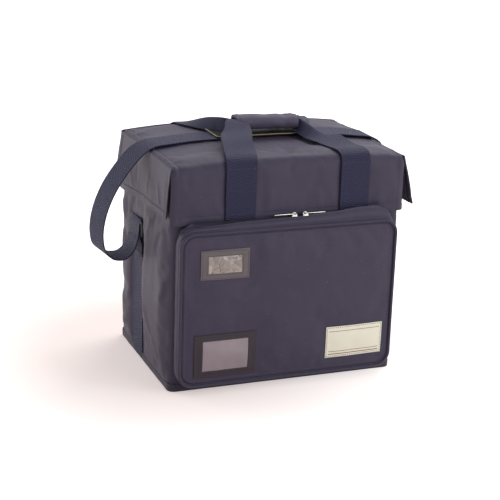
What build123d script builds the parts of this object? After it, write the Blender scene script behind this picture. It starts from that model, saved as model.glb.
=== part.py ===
"""Soft insulated specimen transport box.

A padded carrier with a skirted lid, two webbing handles held together by a grip wrap,
a shoulder strap between rings on the side walls, and a zipped document pocket in front.
Units are millimetres. X runs to the right, Y to the back and Z up. The origin is the
middle of the base, on the surface that the box stands on.
"""

import os
from math import radians, tan

from build123d import *

os.makedirs("parts", exist_ok=True)

# ---------------------------------------------------------------- driving dimensions
# Padded body
body_width = 370.0
body_depth = 260.0
bag_height = 356.0
corner_radius = 10.0
cloth = 1.6
base_board_thickness = 3.0
base_foam_thickness = 16.0
wall_foam_thickness = 16.0
liner_thickness = 1.2
rim_tape_thickness = 1.2

# Padding that swells out between the webbing sewn to the side and rear walls
wall_swell = 5.0
swell_margin = 7.0
swell_taper_angle = 68.0

# Binding tape around the bottom edge
binding_height = 12.0
binding_thickness = 1.2
binding_lift = 0.6

# Lid and its four skirt flaps
lid_foam_thickness = 16.0
lid_seat_gap = 0.3
skirt_depth = 92.0
flap_thickness = 2.4
front_flap_clearance = 2.8
side_flap_clearance = 0.8
rear_flap_clearance = 0.5
running_gap = 0.3
flap_corner_gap = 2.0
right_flap_flare_angle = 12.0

# Hook and loop closure under the front flap
closure_length = 280.0
closure_width = 25.0
closure_thickness = 1.2
closure_rise = 26.0

# Front pocket
pocket_width = 352.0
pocket_centre_x = -4.0
pocket_bottom = 14.0
pocket_depth = 22.0
pocket_corner_radius = 24.0
pocket_cloth = 2.0
gusset_cloth = 1.6
groove_depth = 8.0
ridge_rise = 5.0
zip_slope_height = 12.0
zip_lip_height = 5.0
tape_thickness = 1.2
coil_width = 1.2
coil_height = 2.0
zip_line_gap = 0.4
piping_width = 3.5
piping_proud = 2.0

# Zip sliders and pull tabs
slider_offset_x = 11.0
slider_spacing = 18.0
slider_length = 9.0
slider_width = 6.0
slider_height = 3.0
arch_length = 6.0
arch_width = 1.6
arch_height = 3.0
arch_bar = 1.2
pull_length = 33.0
pull_width = 5.0
pull_thickness = 1.2
pull_eye_wall = 1.2
pull_eye_length = 3.6

# Card windows and label patch, measured from the pocket panel's nearest edges
frame_thickness = 1.2
film_thickness = 0.5
upper_window_size = (76.0, 45.5)
upper_window_opening = (52.0, 26.0)
upper_window_inset = 32.0
upper_window_drop = 27.5
lower_window_size = (99.0, 69.0)
lower_window_opening = (72.5, 48.0)
lower_window_inset = 24.0
lower_window_lift = 15.0
label_size = (96.0, 51.0)
label_inset = 17.0
label_lift = 25.0
label_thickness = 0.8

# Webbing and the carrying handles
webbing_width = 50.0
webbing_thickness = 2.0
left_leg_inset = 103.0
right_leg_inset = 82.5
front_handle_gap = 3.0
rear_handle_gap = 1.4
handle_step_height = 2.0
front_fold_above_ridge = 3.0
rear_fold_below_skirt = 2.0
arm_lift = 3.0
grip_height = 27.5
grip_length = 108.0
grip_width = 28.0
grip_thickness = 21.0
grip_core_width = 19.0
grip_core_thickness = 4.0
grip_core_gap = 0.6
grip_slot_clearance = 0.5
arm_overlap = 4.5

# Side webbing, rings and shoulder strap
ring_y = 32.0
ring_bar_radius = 2.25
ring_height = 22.0
ring_drop = 56.0
ring_side_clearance = 1.0
ring_corner_radius = 3.0
ring_fit = 0.35
pad_y = 20.0
left_strap_y = 2.0
right_strap_y = -6.0
loop_bend_share = 0.45
loop_foot_rise = 4.0
pad_length = 150.0
pad_width = 62.0
pad_thickness = 8.0
pad_edge_radius = 10.0
glide_out = 51.0
glide_drop = 136.0
glide_length = 32.0
glide_bar = 3.0
glide_fit = 0.4

# ---------------------------------------------------------------- places worked out
half_width = body_width / 2
half_depth = body_depth / 2

board_z = cloth
base_foam_z = board_z + base_board_thickness
wall_z = base_foam_z + base_foam_thickness
lid_underside = bag_height - cloth - lid_foam_thickness - liner_thickness
rim_top = lid_underside - lid_seat_gap
wall_top = rim_top - rim_tape_thickness
lid_cloth_z = bag_height - cloth
lid_foam_z = lid_underside + liner_thickness

room_width = body_width - 2 * (cloth + wall_foam_thickness)
room_depth = body_depth - 2 * (cloth + wall_foam_thickness)
inner_width = room_width - 2 * liner_thickness
inner_depth = room_depth - 2 * liner_thickness

binding_top = binding_lift + binding_height
skirt_bottom = bag_height - skirt_depth
flap_inner_x = half_width + side_flap_clearance
flap_outer_x = flap_inner_x + flap_thickness
front_flap_inner_y = -half_depth - front_flap_clearance
front_flap_outer_y = front_flap_inner_y - flap_thickness
rear_flap_inner_y = half_depth + rear_flap_clearance
rear_flap_outer_y = rear_flap_inner_y + flap_thickness
lid_rear_y = rear_flap_inner_y - running_gap

shelf_top = skirt_bottom - groove_depth
ridge_top = skirt_bottom + ridge_rise
panel_top = ridge_top - zip_slope_height
panel_inner_y = -half_depth - pocket_depth
panel_outer_y = panel_inner_y - pocket_cloth
pocket_left_x = pocket_centre_x - pocket_width / 2
pocket_right_x = pocket_centre_x + pocket_width / 2
zip_x = (pocket_left_x + pocket_corner_radius, pocket_right_x - pocket_corner_radius)

left_leg_x = left_leg_inset - half_width
right_leg_x = half_width - right_leg_inset
front_leg_y = front_flap_outer_y - front_handle_gap - webbing_thickness / 2
rear_leg_y = rear_flap_outer_y + rear_handle_gap + webbing_thickness / 2
groove_wall_y = front_leg_y - webbing_thickness / 2 - front_flap_clearance / 2
zip_y = groove_wall_y - tape_thickness - coil_width - zip_line_gap / 2
front_fold_z = ridge_top + front_fold_above_ridge
rear_fold_z = skirt_bottom - rear_fold_below_skirt

grip_x = (left_leg_x + right_leg_x) / 2
grip_z = bag_height + grip_height
core_half_length = grip_length / 2 + webbing_width + running_gap


# ---------------------------------------------------------------- shared shapes
def save(piece, node):
    """Label a finished piece and write its STEP file."""
    piece.part.label = node
    export_step(piece.part, f"parts/{node}.step")


def slab(x, y, z):
    """A flat piece that fills the spans x, y and z, each given as (low, high)."""
    with BuildPart() as piece:
        with BuildSketch(Plane.XY.offset(z[0])):
            with Locations((sum(x) / 2, sum(y) / 2)):
                Rectangle(x[1] - x[0], y[1] - y[0])
        extrude(amount=z[1] - z[0])
    return piece


def rounded_slab(width, depth, radius, z):
    """A flat piece centred on the body with rounded upright corners."""
    with BuildPart() as piece:
        with BuildSketch(Plane.XY.offset(z[0])):
            RectangleRounded(width, depth, radius)
        extrude(amount=z[1] - z[0])
    return piece


def front_plate(size, corner, radius, back_y, thickness, opening=None):
    """A plate that stands in front of back_y, with its lower left corner at (x, z)."""
    centre = (corner[0] + size[0] / 2, corner[1] + size[1] / 2)
    with BuildPart() as piece:
        with BuildSketch(Plane.XZ.offset(-back_y)):
            with Locations(centre):
                RectangleRounded(*size, radius)
                if opening:
                    Rectangle(*opening, mode=Mode.SUBTRACT)
        extrude(amount=thickness)
    return piece


def side_profile(points, x):
    """A piece with a closed (y, z) outline, run along X over the span x."""
    with BuildPart() as piece:
        with BuildSketch(Plane.YZ.offset(x[0])):
            with BuildLine():
                Polyline(*points, close=True)
            make_face()
        extrude(amount=x[1] - x[0])
    return piece


# ---------------------------------------------------------------- padded body
save(rounded_slab(body_width, body_depth, corner_radius, (0, cloth)), "base_panel")

board_width = body_width - 2 * cloth
board_depth = body_depth - 2 * cloth
board_radius = corner_radius - cloth
base_board = rounded_slab(board_width, board_depth, board_radius, (board_z, base_foam_z))
save(base_board, "base_board")
base_foam = rounded_slab(board_width, board_depth, board_radius, (base_foam_z, wall_z))
save(base_foam, "base_foam")

# Each swell lies between two seams: a corner of the body, or a sewn strip of webbing.
side_corner_y = half_depth - corner_radius
rear_corner_x = half_width - corner_radius
strip_reach = webbing_width / 2 + swell_margin
side_swells = ((-side_corner_y, ring_y - strip_reach), (ring_y + strip_reach, side_corner_y))
rear_swells = (
    (-rear_corner_x, left_leg_x - strip_reach),
    (left_leg_x + strip_reach, right_leg_x - strip_reach),
    (right_leg_x + strip_reach, rear_corner_x),
)
swell_low = binding_top + swell_margin
swell_high = skirt_bottom - swell_margin
swell_z = (swell_low + swell_high) / 2

with BuildPart() as outer_cover:
    with BuildSketch(Plane.XY.offset(cloth)):
        RectangleRounded(body_width, body_depth, corner_radius)
        RectangleRounded(board_width, board_depth, board_radius, mode=Mode.SUBTRACT)
    extrude(amount=wall_top - cloth)
    for side in (-1, 1):
        wall = Plane(origin=(side * half_width, 0, swell_z), x_dir=(0, side, 0), z_dir=(side, 0, 0))
        for low, high in side_swells:
            with BuildSketch(wall):
                with Locations((side * (low + high) / 2, 0)):
                    Rectangle(high - low, swell_high - swell_low)
            extrude(amount=wall_swell, taper=swell_taper_angle)
    for low, high in rear_swells:
        with BuildSketch(Plane(origin=(0, half_depth, swell_z), x_dir=(-1, 0, 0), z_dir=(0, 1, 0))):
            with Locations((-(low + high) / 2, 0)):
                Rectangle(high - low, swell_high - swell_low)
        extrude(amount=wall_swell, taper=swell_taper_angle)
save(outer_cover, "outer_cover")

with BuildPart() as base_binding:
    with BuildSketch(Plane.XY.offset(binding_lift)):
        RectangleRounded(
            body_width + 2 * binding_thickness,
            body_depth + 2 * binding_thickness,
            corner_radius + binding_thickness,
        )
        RectangleRounded(body_width, body_depth, corner_radius, mode=Mode.SUBTRACT)
    extrude(amount=binding_height)
save(base_binding, "base_binding")

# The left and right boards run the full depth and carry the rounded corners.
for side, node in ((-1, "left_foam"), (1, "right_foam")):
    with BuildPart() as side_board:
        with BuildSketch(Plane.XY.offset(wall_z)):
            RectangleRounded(board_width, board_depth, board_radius)
            with Locations((side * (board_width - wall_foam_thickness) / 2, 0)):
                Rectangle(wall_foam_thickness, board_depth, mode=Mode.INTERSECT)
        extrude(amount=wall_top - wall_z)
    save(side_board, node)

for side, node in ((-1, "front_foam"), (1, "back_foam")):
    with BuildPart() as end_board:
        with BuildSketch(Plane.XY.offset(wall_z)):
            with Locations((0, side * (board_depth - wall_foam_thickness) / 2)):
                Rectangle(room_width, wall_foam_thickness)
        extrude(amount=wall_top - wall_z)
    save(end_board, node)

with BuildPart() as inner_liner:
    with BuildSketch(Plane.XY.offset(wall_z)):
        Rectangle(room_width, room_depth)
    extrude(amount=wall_top - wall_z)
    with BuildSketch(Plane.XY.offset(wall_z + liner_thickness)):
        Rectangle(inner_width, inner_depth)
    extrude(amount=wall_top - wall_z, mode=Mode.SUBTRACT)
save(inner_liner, "inner_liner")

with BuildPart() as rim_binding:
    with BuildSketch(Plane.XY.offset(wall_top)):
        RectangleRounded(body_width, body_depth, corner_radius)
        Rectangle(inner_width, inner_depth, mode=Mode.SUBTRACT)
    extrude(amount=rim_tape_thickness)
save(rim_binding, "rim_binding")

rear_flap = slab(
    (-flap_outer_x, flap_outer_x),
    (rear_flap_inner_y, rear_flap_outer_y),
    (skirt_bottom, bag_height),
)
save(rear_flap, "rear_flap")

closure_z = (skirt_bottom + closure_rise, skirt_bottom + closure_rise + closure_width)
closure_x = (-closure_length / 2, closure_length / 2)
closure_hook = slab(closure_x, (-half_depth - closure_thickness, -half_depth), closure_z)
save(closure_hook, "closure_hook")

# ---------------------------------------------------------------- lid
lid_cover = slab(
    (-flap_outer_x, flap_outer_x),
    (front_flap_outer_y, lid_rear_y),
    (lid_cloth_z, bag_height),
)
save(lid_cover, "lid_cover")

lid_x = (-half_width, half_width)
lid_y = (front_flap_inner_y, lid_rear_y)
save(slab(lid_x, lid_y, (lid_foam_z, lid_cloth_z)), "lid_foam")
save(slab(lid_x, lid_y, (lid_underside, lid_foam_z)), "lid_liner")

front_flap = slab(
    (-flap_outer_x, flap_outer_x),
    (front_flap_outer_y, front_flap_inner_y),
    (skirt_bottom, lid_cloth_z),
)
save(front_flap, "front_flap")

closure_loop = slab(
    closure_x,
    (front_flap_inner_y, front_flap_inner_y + closure_thickness),
    closure_z,
)
save(closure_loop, "closure_loop")


def side_flap(side, flare):
    """A side skirt flap that hangs from the lid's edge, swung out by flare degrees."""
    fold = (side * flap_outer_x, lid_cloth_z - running_gap)
    flap_front = front_flap_inner_y + flap_corner_gap
    flap_rear = lid_rear_y - flap_corner_gap
    with BuildPart() as piece:
        with BuildSketch(Plane.XZ.offset(-flap_rear)):
            with BuildLine():
                Polyline(
                    fold,
                    (side * flap_inner_x, fold[1]),
                    (side * flap_inner_x, skirt_bottom),
                    (side * flap_outer_x, skirt_bottom),
                    close=True,
                )
            make_face()
        extrude(amount=flap_rear - flap_front)
    hinge = Axis((fold[0], 0, fold[1]), (0, 1, 0))
    piece.part = piece.part.rotate(hinge, -side * flare)
    return piece


save(side_flap(-1, 0.0), "left_flap")
save(side_flap(1, right_flap_flare_angle), "right_flap")


# ---------------------------------------------------------------- handles
def handle_anchor(leg_x, side, wall_y, leg_y, bottom, step_z, top):
    """Webbing sewn down the wall that steps out under the skirt and stands up to top."""
    skin_y = wall_y + side * webbing_thickness
    inner_y = leg_y - side * webbing_thickness / 2
    outer_y = leg_y + side * webbing_thickness / 2
    outline = (
        (wall_y, bottom),
        (skin_y, bottom),
        (skin_y, step_z),
        (outer_y, step_z),
        (outer_y, top),
        (inner_y, top),
        (inner_y, step_z + handle_step_height),
        (wall_y, step_z + handle_step_height),
    )
    return side_profile(outline, (leg_x - webbing_width / 2, leg_x + webbing_width / 2))


def handle_leg(leg_x, leg_y, bottom):
    """The upright stretch of a handle, from its fold up to the lid's edge."""
    return slab(
        (leg_x - webbing_width / 2, leg_x + webbing_width / 2),
        (leg_y - webbing_thickness / 2, leg_y + webbing_thickness / 2),
        (bottom + running_gap, bag_height + webbing_thickness - running_gap),
    )


def handle_loop(side, leg_y, core_z):
    """Two arms from the lid's edge up to the folded webbing inside the grip."""
    core_edge = side * grip_core_width / 2
    with BuildPart() as piece:
        with BuildSketch(Plane.XY.offset(core_z - grip_core_thickness / 2)):
            with Locations((grip_x, 0)):
                Rectangle(2 * core_half_length, grip_core_width)
        extrude(amount=grip_core_thickness)
        for hand, leg_x in ((-1, left_leg_x), (1, right_leg_x)):
            foot = Vector(leg_x, leg_y, bag_height + arm_lift)
            arm_x = grip_x + hand * (core_half_length - webbing_width / 2)
            head = Vector(arm_x, core_edge - side * arm_overlap, core_z)
            with BuildSketch(Plane(origin=foot, x_dir=(1, 0, 0), z_dir=head - foot)):
                Rectangle(webbing_width, webbing_thickness)
            extrude(amount=(head - foot).length)
    return piece


front_core_z = grip_z - (grip_core_thickness + grip_core_gap) / 2
rear_core_z = grip_z + (grip_core_thickness + grip_core_gap) / 2

for hand, leg_x in (("left", left_leg_x), ("right", right_leg_x)):
    front_anchor = handle_anchor(
        leg_x, -1, -half_depth, front_leg_y, pocket_bottom + gusset_cloth,
        shelf_top, front_fold_z,
    )
    save(front_anchor, f"front_handle_anchor_{hand}")
    rear_anchor = handle_anchor(
        leg_x, 1, half_depth, rear_leg_y, binding_top,
        skirt_bottom - groove_depth, rear_fold_z,
    )
    save(rear_anchor, f"rear_handle_anchor_{hand}")
    save(handle_leg(leg_x, front_leg_y, front_fold_z), f"front_handle_leg_{hand}")
    save(handle_leg(leg_x, rear_leg_y, rear_fold_z), f"rear_handle_leg_{hand}")

save(handle_loop(-1, front_leg_y, front_core_z), "front_handle_loop")
save(handle_loop(1, rear_leg_y, rear_core_z), "rear_handle_loop")

slot_width = grip_core_width + 2 * grip_slot_clearance
slot_height = 2 * grip_core_thickness + grip_core_gap + 2 * grip_slot_clearance
with BuildPart() as grip_wrap:
    with BuildSketch(Plane.YZ.offset(grip_x - grip_length / 2)):
        with Locations((0, grip_z)):
            RectangleRounded(grip_width, grip_thickness, grip_thickness / 2 - running_gap)
            Rectangle(slot_width, slot_height, mode=Mode.SUBTRACT)
    extrude(amount=grip_length)
save(grip_wrap, "grip_wrap")

# ---------------------------------------------------------------- front pocket
# The gusset is a rounded band around the pocket. Its top stops at the zip's groove, and
# the handle webbing passes through two slits in it.
gusset_height = shelf_top - pocket_bottom
gusset_centre = (pocket_centre_x, pocket_bottom + gusset_height / 2)
gusset_depth = pocket_depth - running_gap
mouth_bottom = shelf_top - pocket_corner_radius + gusset_cloth
with BuildPart() as pocket_gusset:
    with BuildSketch(Plane.XZ.offset(half_depth)):
        with Locations(gusset_centre):
            RectangleRounded(pocket_width, gusset_height, pocket_corner_radius)
            RectangleRounded(
                pocket_width - 2 * gusset_cloth,
                gusset_height - 2 * gusset_cloth,
                pocket_corner_radius - gusset_cloth,
                mode=Mode.SUBTRACT,
            )
    extrude(amount=gusset_depth)
    mouth_back = -groove_wall_y + tape_thickness
    with BuildSketch(Plane.XZ.offset(mouth_back)):
        with Locations((pocket_centre_x, mouth_bottom + pocket_corner_radius / 2)):
            Rectangle(pocket_width, pocket_corner_radius)
    extrude(amount=pocket_depth, mode=Mode.SUBTRACT)
    with BuildSketch(Plane.XY.offset(shelf_top - 2 * gusset_cloth)):
        with Locations((left_leg_x, -half_depth), (right_leg_x, -half_depth)):
            Rectangle(webbing_width, 2 * webbing_thickness)
    extrude(amount=3 * gusset_cloth, mode=Mode.SUBTRACT)
save(pocket_gusset, "pocket_gusset")

groove_wall = (groove_wall_y - tape_thickness, groove_wall_y)
save(slab(zip_x, groove_wall, (shelf_top, ridge_top)), "zip_tape_rear")

coil_z = (ridge_top - coil_height, ridge_top)
rear_coil_y = (groove_wall[0] - coil_width, groove_wall[0])
save(slab(zip_x, rear_coil_y, coil_z), "zip_coil_rear")

front_coil_y = (rear_coil_y[0] - zip_line_gap - coil_width, rear_coil_y[0] - zip_line_gap)
save(slab(zip_x, front_coil_y, coil_z), "zip_coil_front")

lip_y = front_coil_y[0]
lip_z = ridge_top - zip_lip_height
zip_tape_front = side_profile(
    (
        (panel_outer_y, panel_top),
        (panel_inner_y, panel_top),
        (lip_y, lip_z),
        (lip_y, ridge_top),
        (lip_y - tape_thickness, ridge_top),
        (lip_y - tape_thickness, lip_z),
    ),
    zip_x,
)
save(zip_tape_front, "zip_tape_front")

panel_size = (pocket_width, panel_top - pocket_bottom)
panel_corner = (pocket_left_x, pocket_bottom)
pocket_front_panel = front_plate(
    panel_size, panel_corner, pocket_corner_radius, panel_inner_y, pocket_cloth
)
save(pocket_front_panel, "pocket_front_panel")

with BuildPart() as pocket_piping:
    with BuildSketch(Plane.XZ.offset(-panel_outer_y)):
        with Locations((pocket_centre_x, pocket_bottom + panel_size[1] / 2)):
            RectangleRounded(*panel_size, pocket_corner_radius)
            RectangleRounded(
                panel_size[0] - 2 * piping_width,
                panel_size[1] - 2 * piping_width,
                pocket_corner_radius - piping_width,
                mode=Mode.SUBTRACT,
            )
    extrude(amount=piping_proud)
save(pocket_piping, "pocket_piping")

# Card windows: a stitched frame around a clear film, both on the front panel.
upper_corner = (
    pocket_left_x + upper_window_inset,
    panel_top - upper_window_drop - upper_window_size[1],
)
lower_corner = (pocket_left_x + lower_window_inset, pocket_bottom + lower_window_lift)
windows = (
    ("upper", upper_window_size, upper_window_opening, upper_corner),
    ("lower", lower_window_size, lower_window_opening, lower_corner),
)
for name, size, opening, corner in windows:
    window_frame = front_plate(size, corner, 1.0, panel_outer_y, frame_thickness, opening)
    save(window_frame, f"{name}_window_frame")
    film_corner = (
        corner[0] + (size[0] - opening[0]) / 2,
        corner[1] + (size[1] - opening[1]) / 2,
    )
    film_x = (film_corner[0], film_corner[0] + opening[0])
    film_z = (film_corner[1], film_corner[1] + opening[1])
    film = slab(film_x, (panel_outer_y - film_thickness, panel_outer_y), film_z)
    save(film, f"{name}_window_film")

label_corner = (pocket_right_x - label_inset - label_size[0], pocket_bottom + label_lift)
label_patch = front_plate(label_size, label_corner, 1.0, panel_outer_y, label_thickness)
save(label_patch, "label_patch")

# ---------------------------------------------------------------- zip sliders and pulls
slider_z = ridge_top + running_gap
arch_hole = arch_length - 2 * arch_bar
bar_z = slider_z + slider_height + (arch_height - arch_bar) / 2
for side, name in ((-1, "left"), (1, "right")):
    slider_x = slider_offset_x + side * slider_spacing / 2
    with BuildPart() as slider:
        with BuildSketch(Plane.XY.offset(slider_z)):
            with Locations((slider_x, zip_y)):
                RectangleRounded(slider_length, slider_width, slider_width / 4)
        extrude(amount=slider_height)
        with BuildSketch(Plane.XZ.offset(-zip_y - arch_width / 2)):
            with Locations((slider_x, slider_z + slider_height + arch_height / 2)):
                Rectangle(arch_length, arch_height)
            with Locations((slider_x, bar_z)):
                Rectangle(arch_hole, arch_height - arch_bar, mode=Mode.SUBTRACT)
        extrude(amount=arch_width)
    save(slider, f"slider_{name}")

    # The eye's end bar lies inside the arch, and the tab points away from the centre.
    eye_start = slider_x - side * pull_eye_wall / 2
    with BuildPart() as pull:
        with BuildSketch(Plane.XY.offset(bar_z - pull_thickness / 2)):
            with Locations((eye_start + side * pull_length / 2, zip_y)):
                RectangleRounded(pull_length, pull_width, pull_thickness / 2)
            eye_x = eye_start + side * (pull_eye_wall + pull_eye_length / 2)
            with Locations((eye_x, zip_y)):
                Rectangle(pull_eye_length, pull_width - 2 * pull_eye_wall, mode=Mode.SUBTRACT)
        extrude(amount=pull_thickness)
    save(pull, f"pull_{name}")

# ---------------------------------------------------------------- shoulder strap
ring_loop_inner = ring_bar_radius + ring_fit
ring_loop_outer = ring_loop_inner + webbing_thickness
ring_low_z = skirt_bottom - ring_drop
ring_top_z = ring_low_z + ring_height
ring_x = half_width + ring_loop_outer + ring_fit
ring_half_width = webbing_width / 2 + ring_side_clearance + ring_bar_radius

# Centre line of each slack loop as (distance out from the wall, drop below the lid's
# top), from the lid's edge to the ring. It ends beside the ring's upper bar.
loop_start = (
    flap_outer_x + running_gap + webbing_thickness / 2,
    bag_height + webbing_thickness / 2,
)
loop_foot = (ring_x + ring_loop_outer + webbing_thickness, ring_low_z + loop_foot_rise)
loop_end = (ring_x + ring_loop_inner + webbing_thickness / 2, ring_top_z)
left_loop_points = ((41.0, 52.0), (73.0, 116.0), (65.0, 170.0), (37.0, 189.0))
right_loop_points = ((29.0, 55.0), (glide_out, 104.0), (glide_out, 168.0), (31.0, 188.0))
glide_x = half_width + glide_out
glide_z = bag_height - glide_drop
strap_drift = ring_y - min(left_strap_y, right_strap_y)
strap_reach = 2 * max(out for out, drop in left_loop_points + right_loop_points)


def bend_radii(points):
    """The largest radius at each inner corner that leaves its two runs room."""
    radii = []
    for before, corner, after in zip(points, points[1:], points[2:]):
        run_in = Vector(*corner) - Vector(*before)
        run_out = Vector(*after) - Vector(*corner)
        turn = radians(run_in.get_angle(run_out))
        shorter = min(run_in.length, run_out.length)
        radii.append(loop_bend_share * shorter / tan(turn / 2))
    return radii


def strap_room(side, lid_y, turn, level_z):
    """The room of a slack loop. Its outer run drifts from lid_y at the lid to ring_y at
    level_z, and what lies inside the point turn, below the lid, stays at ring_y."""
    turn_x, turn_z = turn
    half = webbing_width / 2
    above = bag_height + 2 * webbing_thickness
    below = turn_z - 2 * webbing_thickness
    drift = [
        (lid_y - half, above), (lid_y + half, above), (lid_y + half, bag_height),
        (ring_y + half, level_z), (ring_y + half, below), (ring_y - half, below),
        (ring_y - half, level_z), (lid_y - half, bag_height),
    ]
    far = half_width + strap_reach
    with BuildPart() as room:
        with BuildSketch(Plane.YZ.offset(side * half_width)):
            with BuildLine():
                Polyline(*drift, close=True)
            make_face()
        extrude(amount=side * (far - half_width))
        with BuildSketch(Plane.XZ.offset(-ring_y - webbing_width)):
            with Locations((side * (turn_x + half_width) / 2, (below + skirt_bottom) / 2)):
                Rectangle(turn_x - half_width, skirt_bottom - below)
        extrude(amount=2 * webbing_width + strap_drift, mode=Mode.SUBTRACT)
        with BuildSketch(Plane.XZ.offset(-ring_y - half)):
            with Locations((side * (turn_x + half_width) / 2, (below + skirt_bottom) / 2)):
                Rectangle(turn_x - half_width, skirt_bottom - below)
        extrude(amount=webbing_width)
    return room


def strap_loop(side, points, lid_y, level_z):
    """Slack webbing from the lid's edge down to the ring, closed round its upper bar."""
    slack_points = [(half_width + out, bag_height - drop) for out, drop in points]
    route_points = [loop_start, *slack_points, loop_foot, loop_end]
    with BuildPart() as piece:
        with BuildLine(Plane.XZ.offset(-ring_y)):
            corners = [(side * x, z) for x, z in route_points]
            route = FilletPolyline(*corners, radius=bend_radii(corners))
        with BuildSketch(Plane(origin=route @ 0, x_dir=(0, 1, 0), z_dir=route % 0)):
            Rectangle(webbing_width + 2 * strap_drift, webbing_thickness)
        sweep()
        add(strap_room(side, lid_y, slack_points[-1], level_z), mode=Mode.INTERSECT)
        with BuildSketch(Plane.XZ.offset(-ring_y - webbing_width / 2)):
            with Locations((side * ring_x, ring_top_z)):
                Circle(ring_loop_outer)
                Circle(ring_loop_inner, mode=Mode.SUBTRACT)
        extrude(amount=webbing_width)
    return piece


def side_webbing(side):
    """Webbing sewn up the side wall and closed round the ring's lower bar."""
    with BuildPart() as piece:
        with BuildSketch(Plane.XZ.offset(-ring_y - webbing_width / 2)):
            strip_height = ring_low_z - binding_top
            with Locations((side * (half_width + webbing_thickness / 2),
                            binding_top + strip_height / 2)):
                Rectangle(webbing_thickness, strip_height)
            with Locations((side * ring_x, ring_low_z)):
                Circle(ring_loop_outer)
                Circle(ring_loop_inner, mode=Mode.SUBTRACT)
        extrude(amount=webbing_width)
    return piece


def ring(side):
    """Rectangular ring of round bar that joins the side webbing to the strap."""
    low = ring_y - ring_half_width
    high = ring_y + ring_half_width
    corners = ((low, ring_low_z), (high, ring_low_z), (high, ring_top_z), (low, ring_top_z))
    with BuildPart() as piece:
        with BuildLine(Plane.YZ.offset(side * ring_x)):
            loop = FilletPolyline(*corners, radius=ring_corner_radius, close=True)
        with BuildSketch(Plane(origin=loop @ 0, z_dir=loop % 0)):
            Circle(ring_bar_radius)
        sweep()
    return piece


for side, name, points, lid_y, level_z in (
    (-1, "left", left_loop_points, left_strap_y, bag_height - left_loop_points[-1][1]),
    (1, "right", right_loop_points, right_strap_y, glide_z + glide_length / 2),
):
    save(side_webbing(side), f"side_webbing_{name}")
    save(ring(side), f"ring_{name}")
    save(strap_loop(side, points, lid_y, level_z), f"strap_loop_{name}")

strap_top_z = bag_height + webbing_thickness
with BuildPart() as strap_top:
    with BuildSketch(Plane.XY.offset(bag_height)):
        with BuildLine():
            line = [
                (-flap_outer_x, left_strap_y), (-pad_length / 2, pad_y),
                (pad_length / 2, pad_y), (flap_outer_x, right_strap_y),
            ]
            front = [(x, y - webbing_width / 2) for x, y in line]
            rear = [(x, y + webbing_width / 2) for x, y in line]
            Polyline(*front, *reversed(rear), close=True)
        make_face()
    extrude(amount=webbing_thickness)
save(strap_top, "strap_top")

with BuildPart() as shoulder_pad:
    with BuildSketch(Plane.XY.offset(strap_top_z)):
        with Locations((0, pad_y)):
            RectangleRounded(pad_length, pad_width, pad_edge_radius)
    extrude(amount=pad_thickness)
    fillet(shoulder_pad.faces().sort_by(Axis.Z)[-1].edges(), pad_thickness / 3)
save(shoulder_pad, "shoulder_pad")

# The adjuster's end bars lie behind the webbing and its middle bar in front of it.
glide_width = webbing_width + 2 * (glide_bar + glide_fit)
glide_inner_x = glide_x - webbing_thickness / 2 - glide_fit - glide_bar
glide_outer_x = glide_x + webbing_thickness / 2 + glide_fit + glide_bar
rail_y = (webbing_width + glide_bar) / 2 + glide_fit
bar_offset = (glide_length - glide_bar) / 2
with BuildPart() as strap_adjuster:
    with BuildSketch(Plane.YZ.offset(glide_inner_x)):
        with Locations((ring_y - rail_y, glide_z), (ring_y + rail_y, glide_z)):
            Rectangle(glide_bar, glide_length)
    extrude(amount=glide_outer_x - glide_inner_x)
    with BuildSketch(Plane.YZ.offset(glide_inner_x)):
        with Locations((ring_y, glide_z - bar_offset), (ring_y, glide_z + bar_offset)):
            Rectangle(glide_width, glide_bar)
    extrude(amount=glide_bar)
    with BuildSketch(Plane.YZ.offset(glide_outer_x - glide_bar)):
        with Locations((ring_y, glide_z)):
            Rectangle(glide_width, glide_bar)
    extrude(amount=glide_bar)
save(strap_adjuster, "strap_adjuster")
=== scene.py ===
"""The look of a soft insulated specimen transport box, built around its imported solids.

Sizes are in millimetres unless a name says otherwise, and are turned into metres when a
piece is made. X runs to the right, Y to the back and Z up.
"""

from math import asin, atan2, cos, exp, hypot, pi, radians, sin, sqrt, tan

import bpy
from mathutils import Matrix, Vector, noise


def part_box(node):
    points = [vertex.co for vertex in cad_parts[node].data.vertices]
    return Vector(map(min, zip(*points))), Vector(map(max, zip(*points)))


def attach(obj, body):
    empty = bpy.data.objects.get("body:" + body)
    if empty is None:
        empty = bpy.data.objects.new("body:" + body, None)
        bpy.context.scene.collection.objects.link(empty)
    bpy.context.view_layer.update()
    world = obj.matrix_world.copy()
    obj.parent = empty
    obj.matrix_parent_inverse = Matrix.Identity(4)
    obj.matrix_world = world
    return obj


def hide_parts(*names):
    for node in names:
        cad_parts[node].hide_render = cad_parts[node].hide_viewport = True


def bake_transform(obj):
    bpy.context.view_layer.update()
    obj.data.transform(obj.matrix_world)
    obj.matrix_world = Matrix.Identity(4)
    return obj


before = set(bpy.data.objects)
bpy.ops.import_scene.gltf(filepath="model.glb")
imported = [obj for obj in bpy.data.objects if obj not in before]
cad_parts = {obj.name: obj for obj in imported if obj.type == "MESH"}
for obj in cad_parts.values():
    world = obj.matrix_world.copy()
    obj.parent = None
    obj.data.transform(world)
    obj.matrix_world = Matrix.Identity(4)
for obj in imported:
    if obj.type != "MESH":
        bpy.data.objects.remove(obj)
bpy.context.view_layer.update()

MM = 0.001


# ================================================================ places from the frame
def span(node):
    """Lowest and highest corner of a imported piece, in millimetres."""
    low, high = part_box(node)
    return low / MM, high / MM


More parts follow.
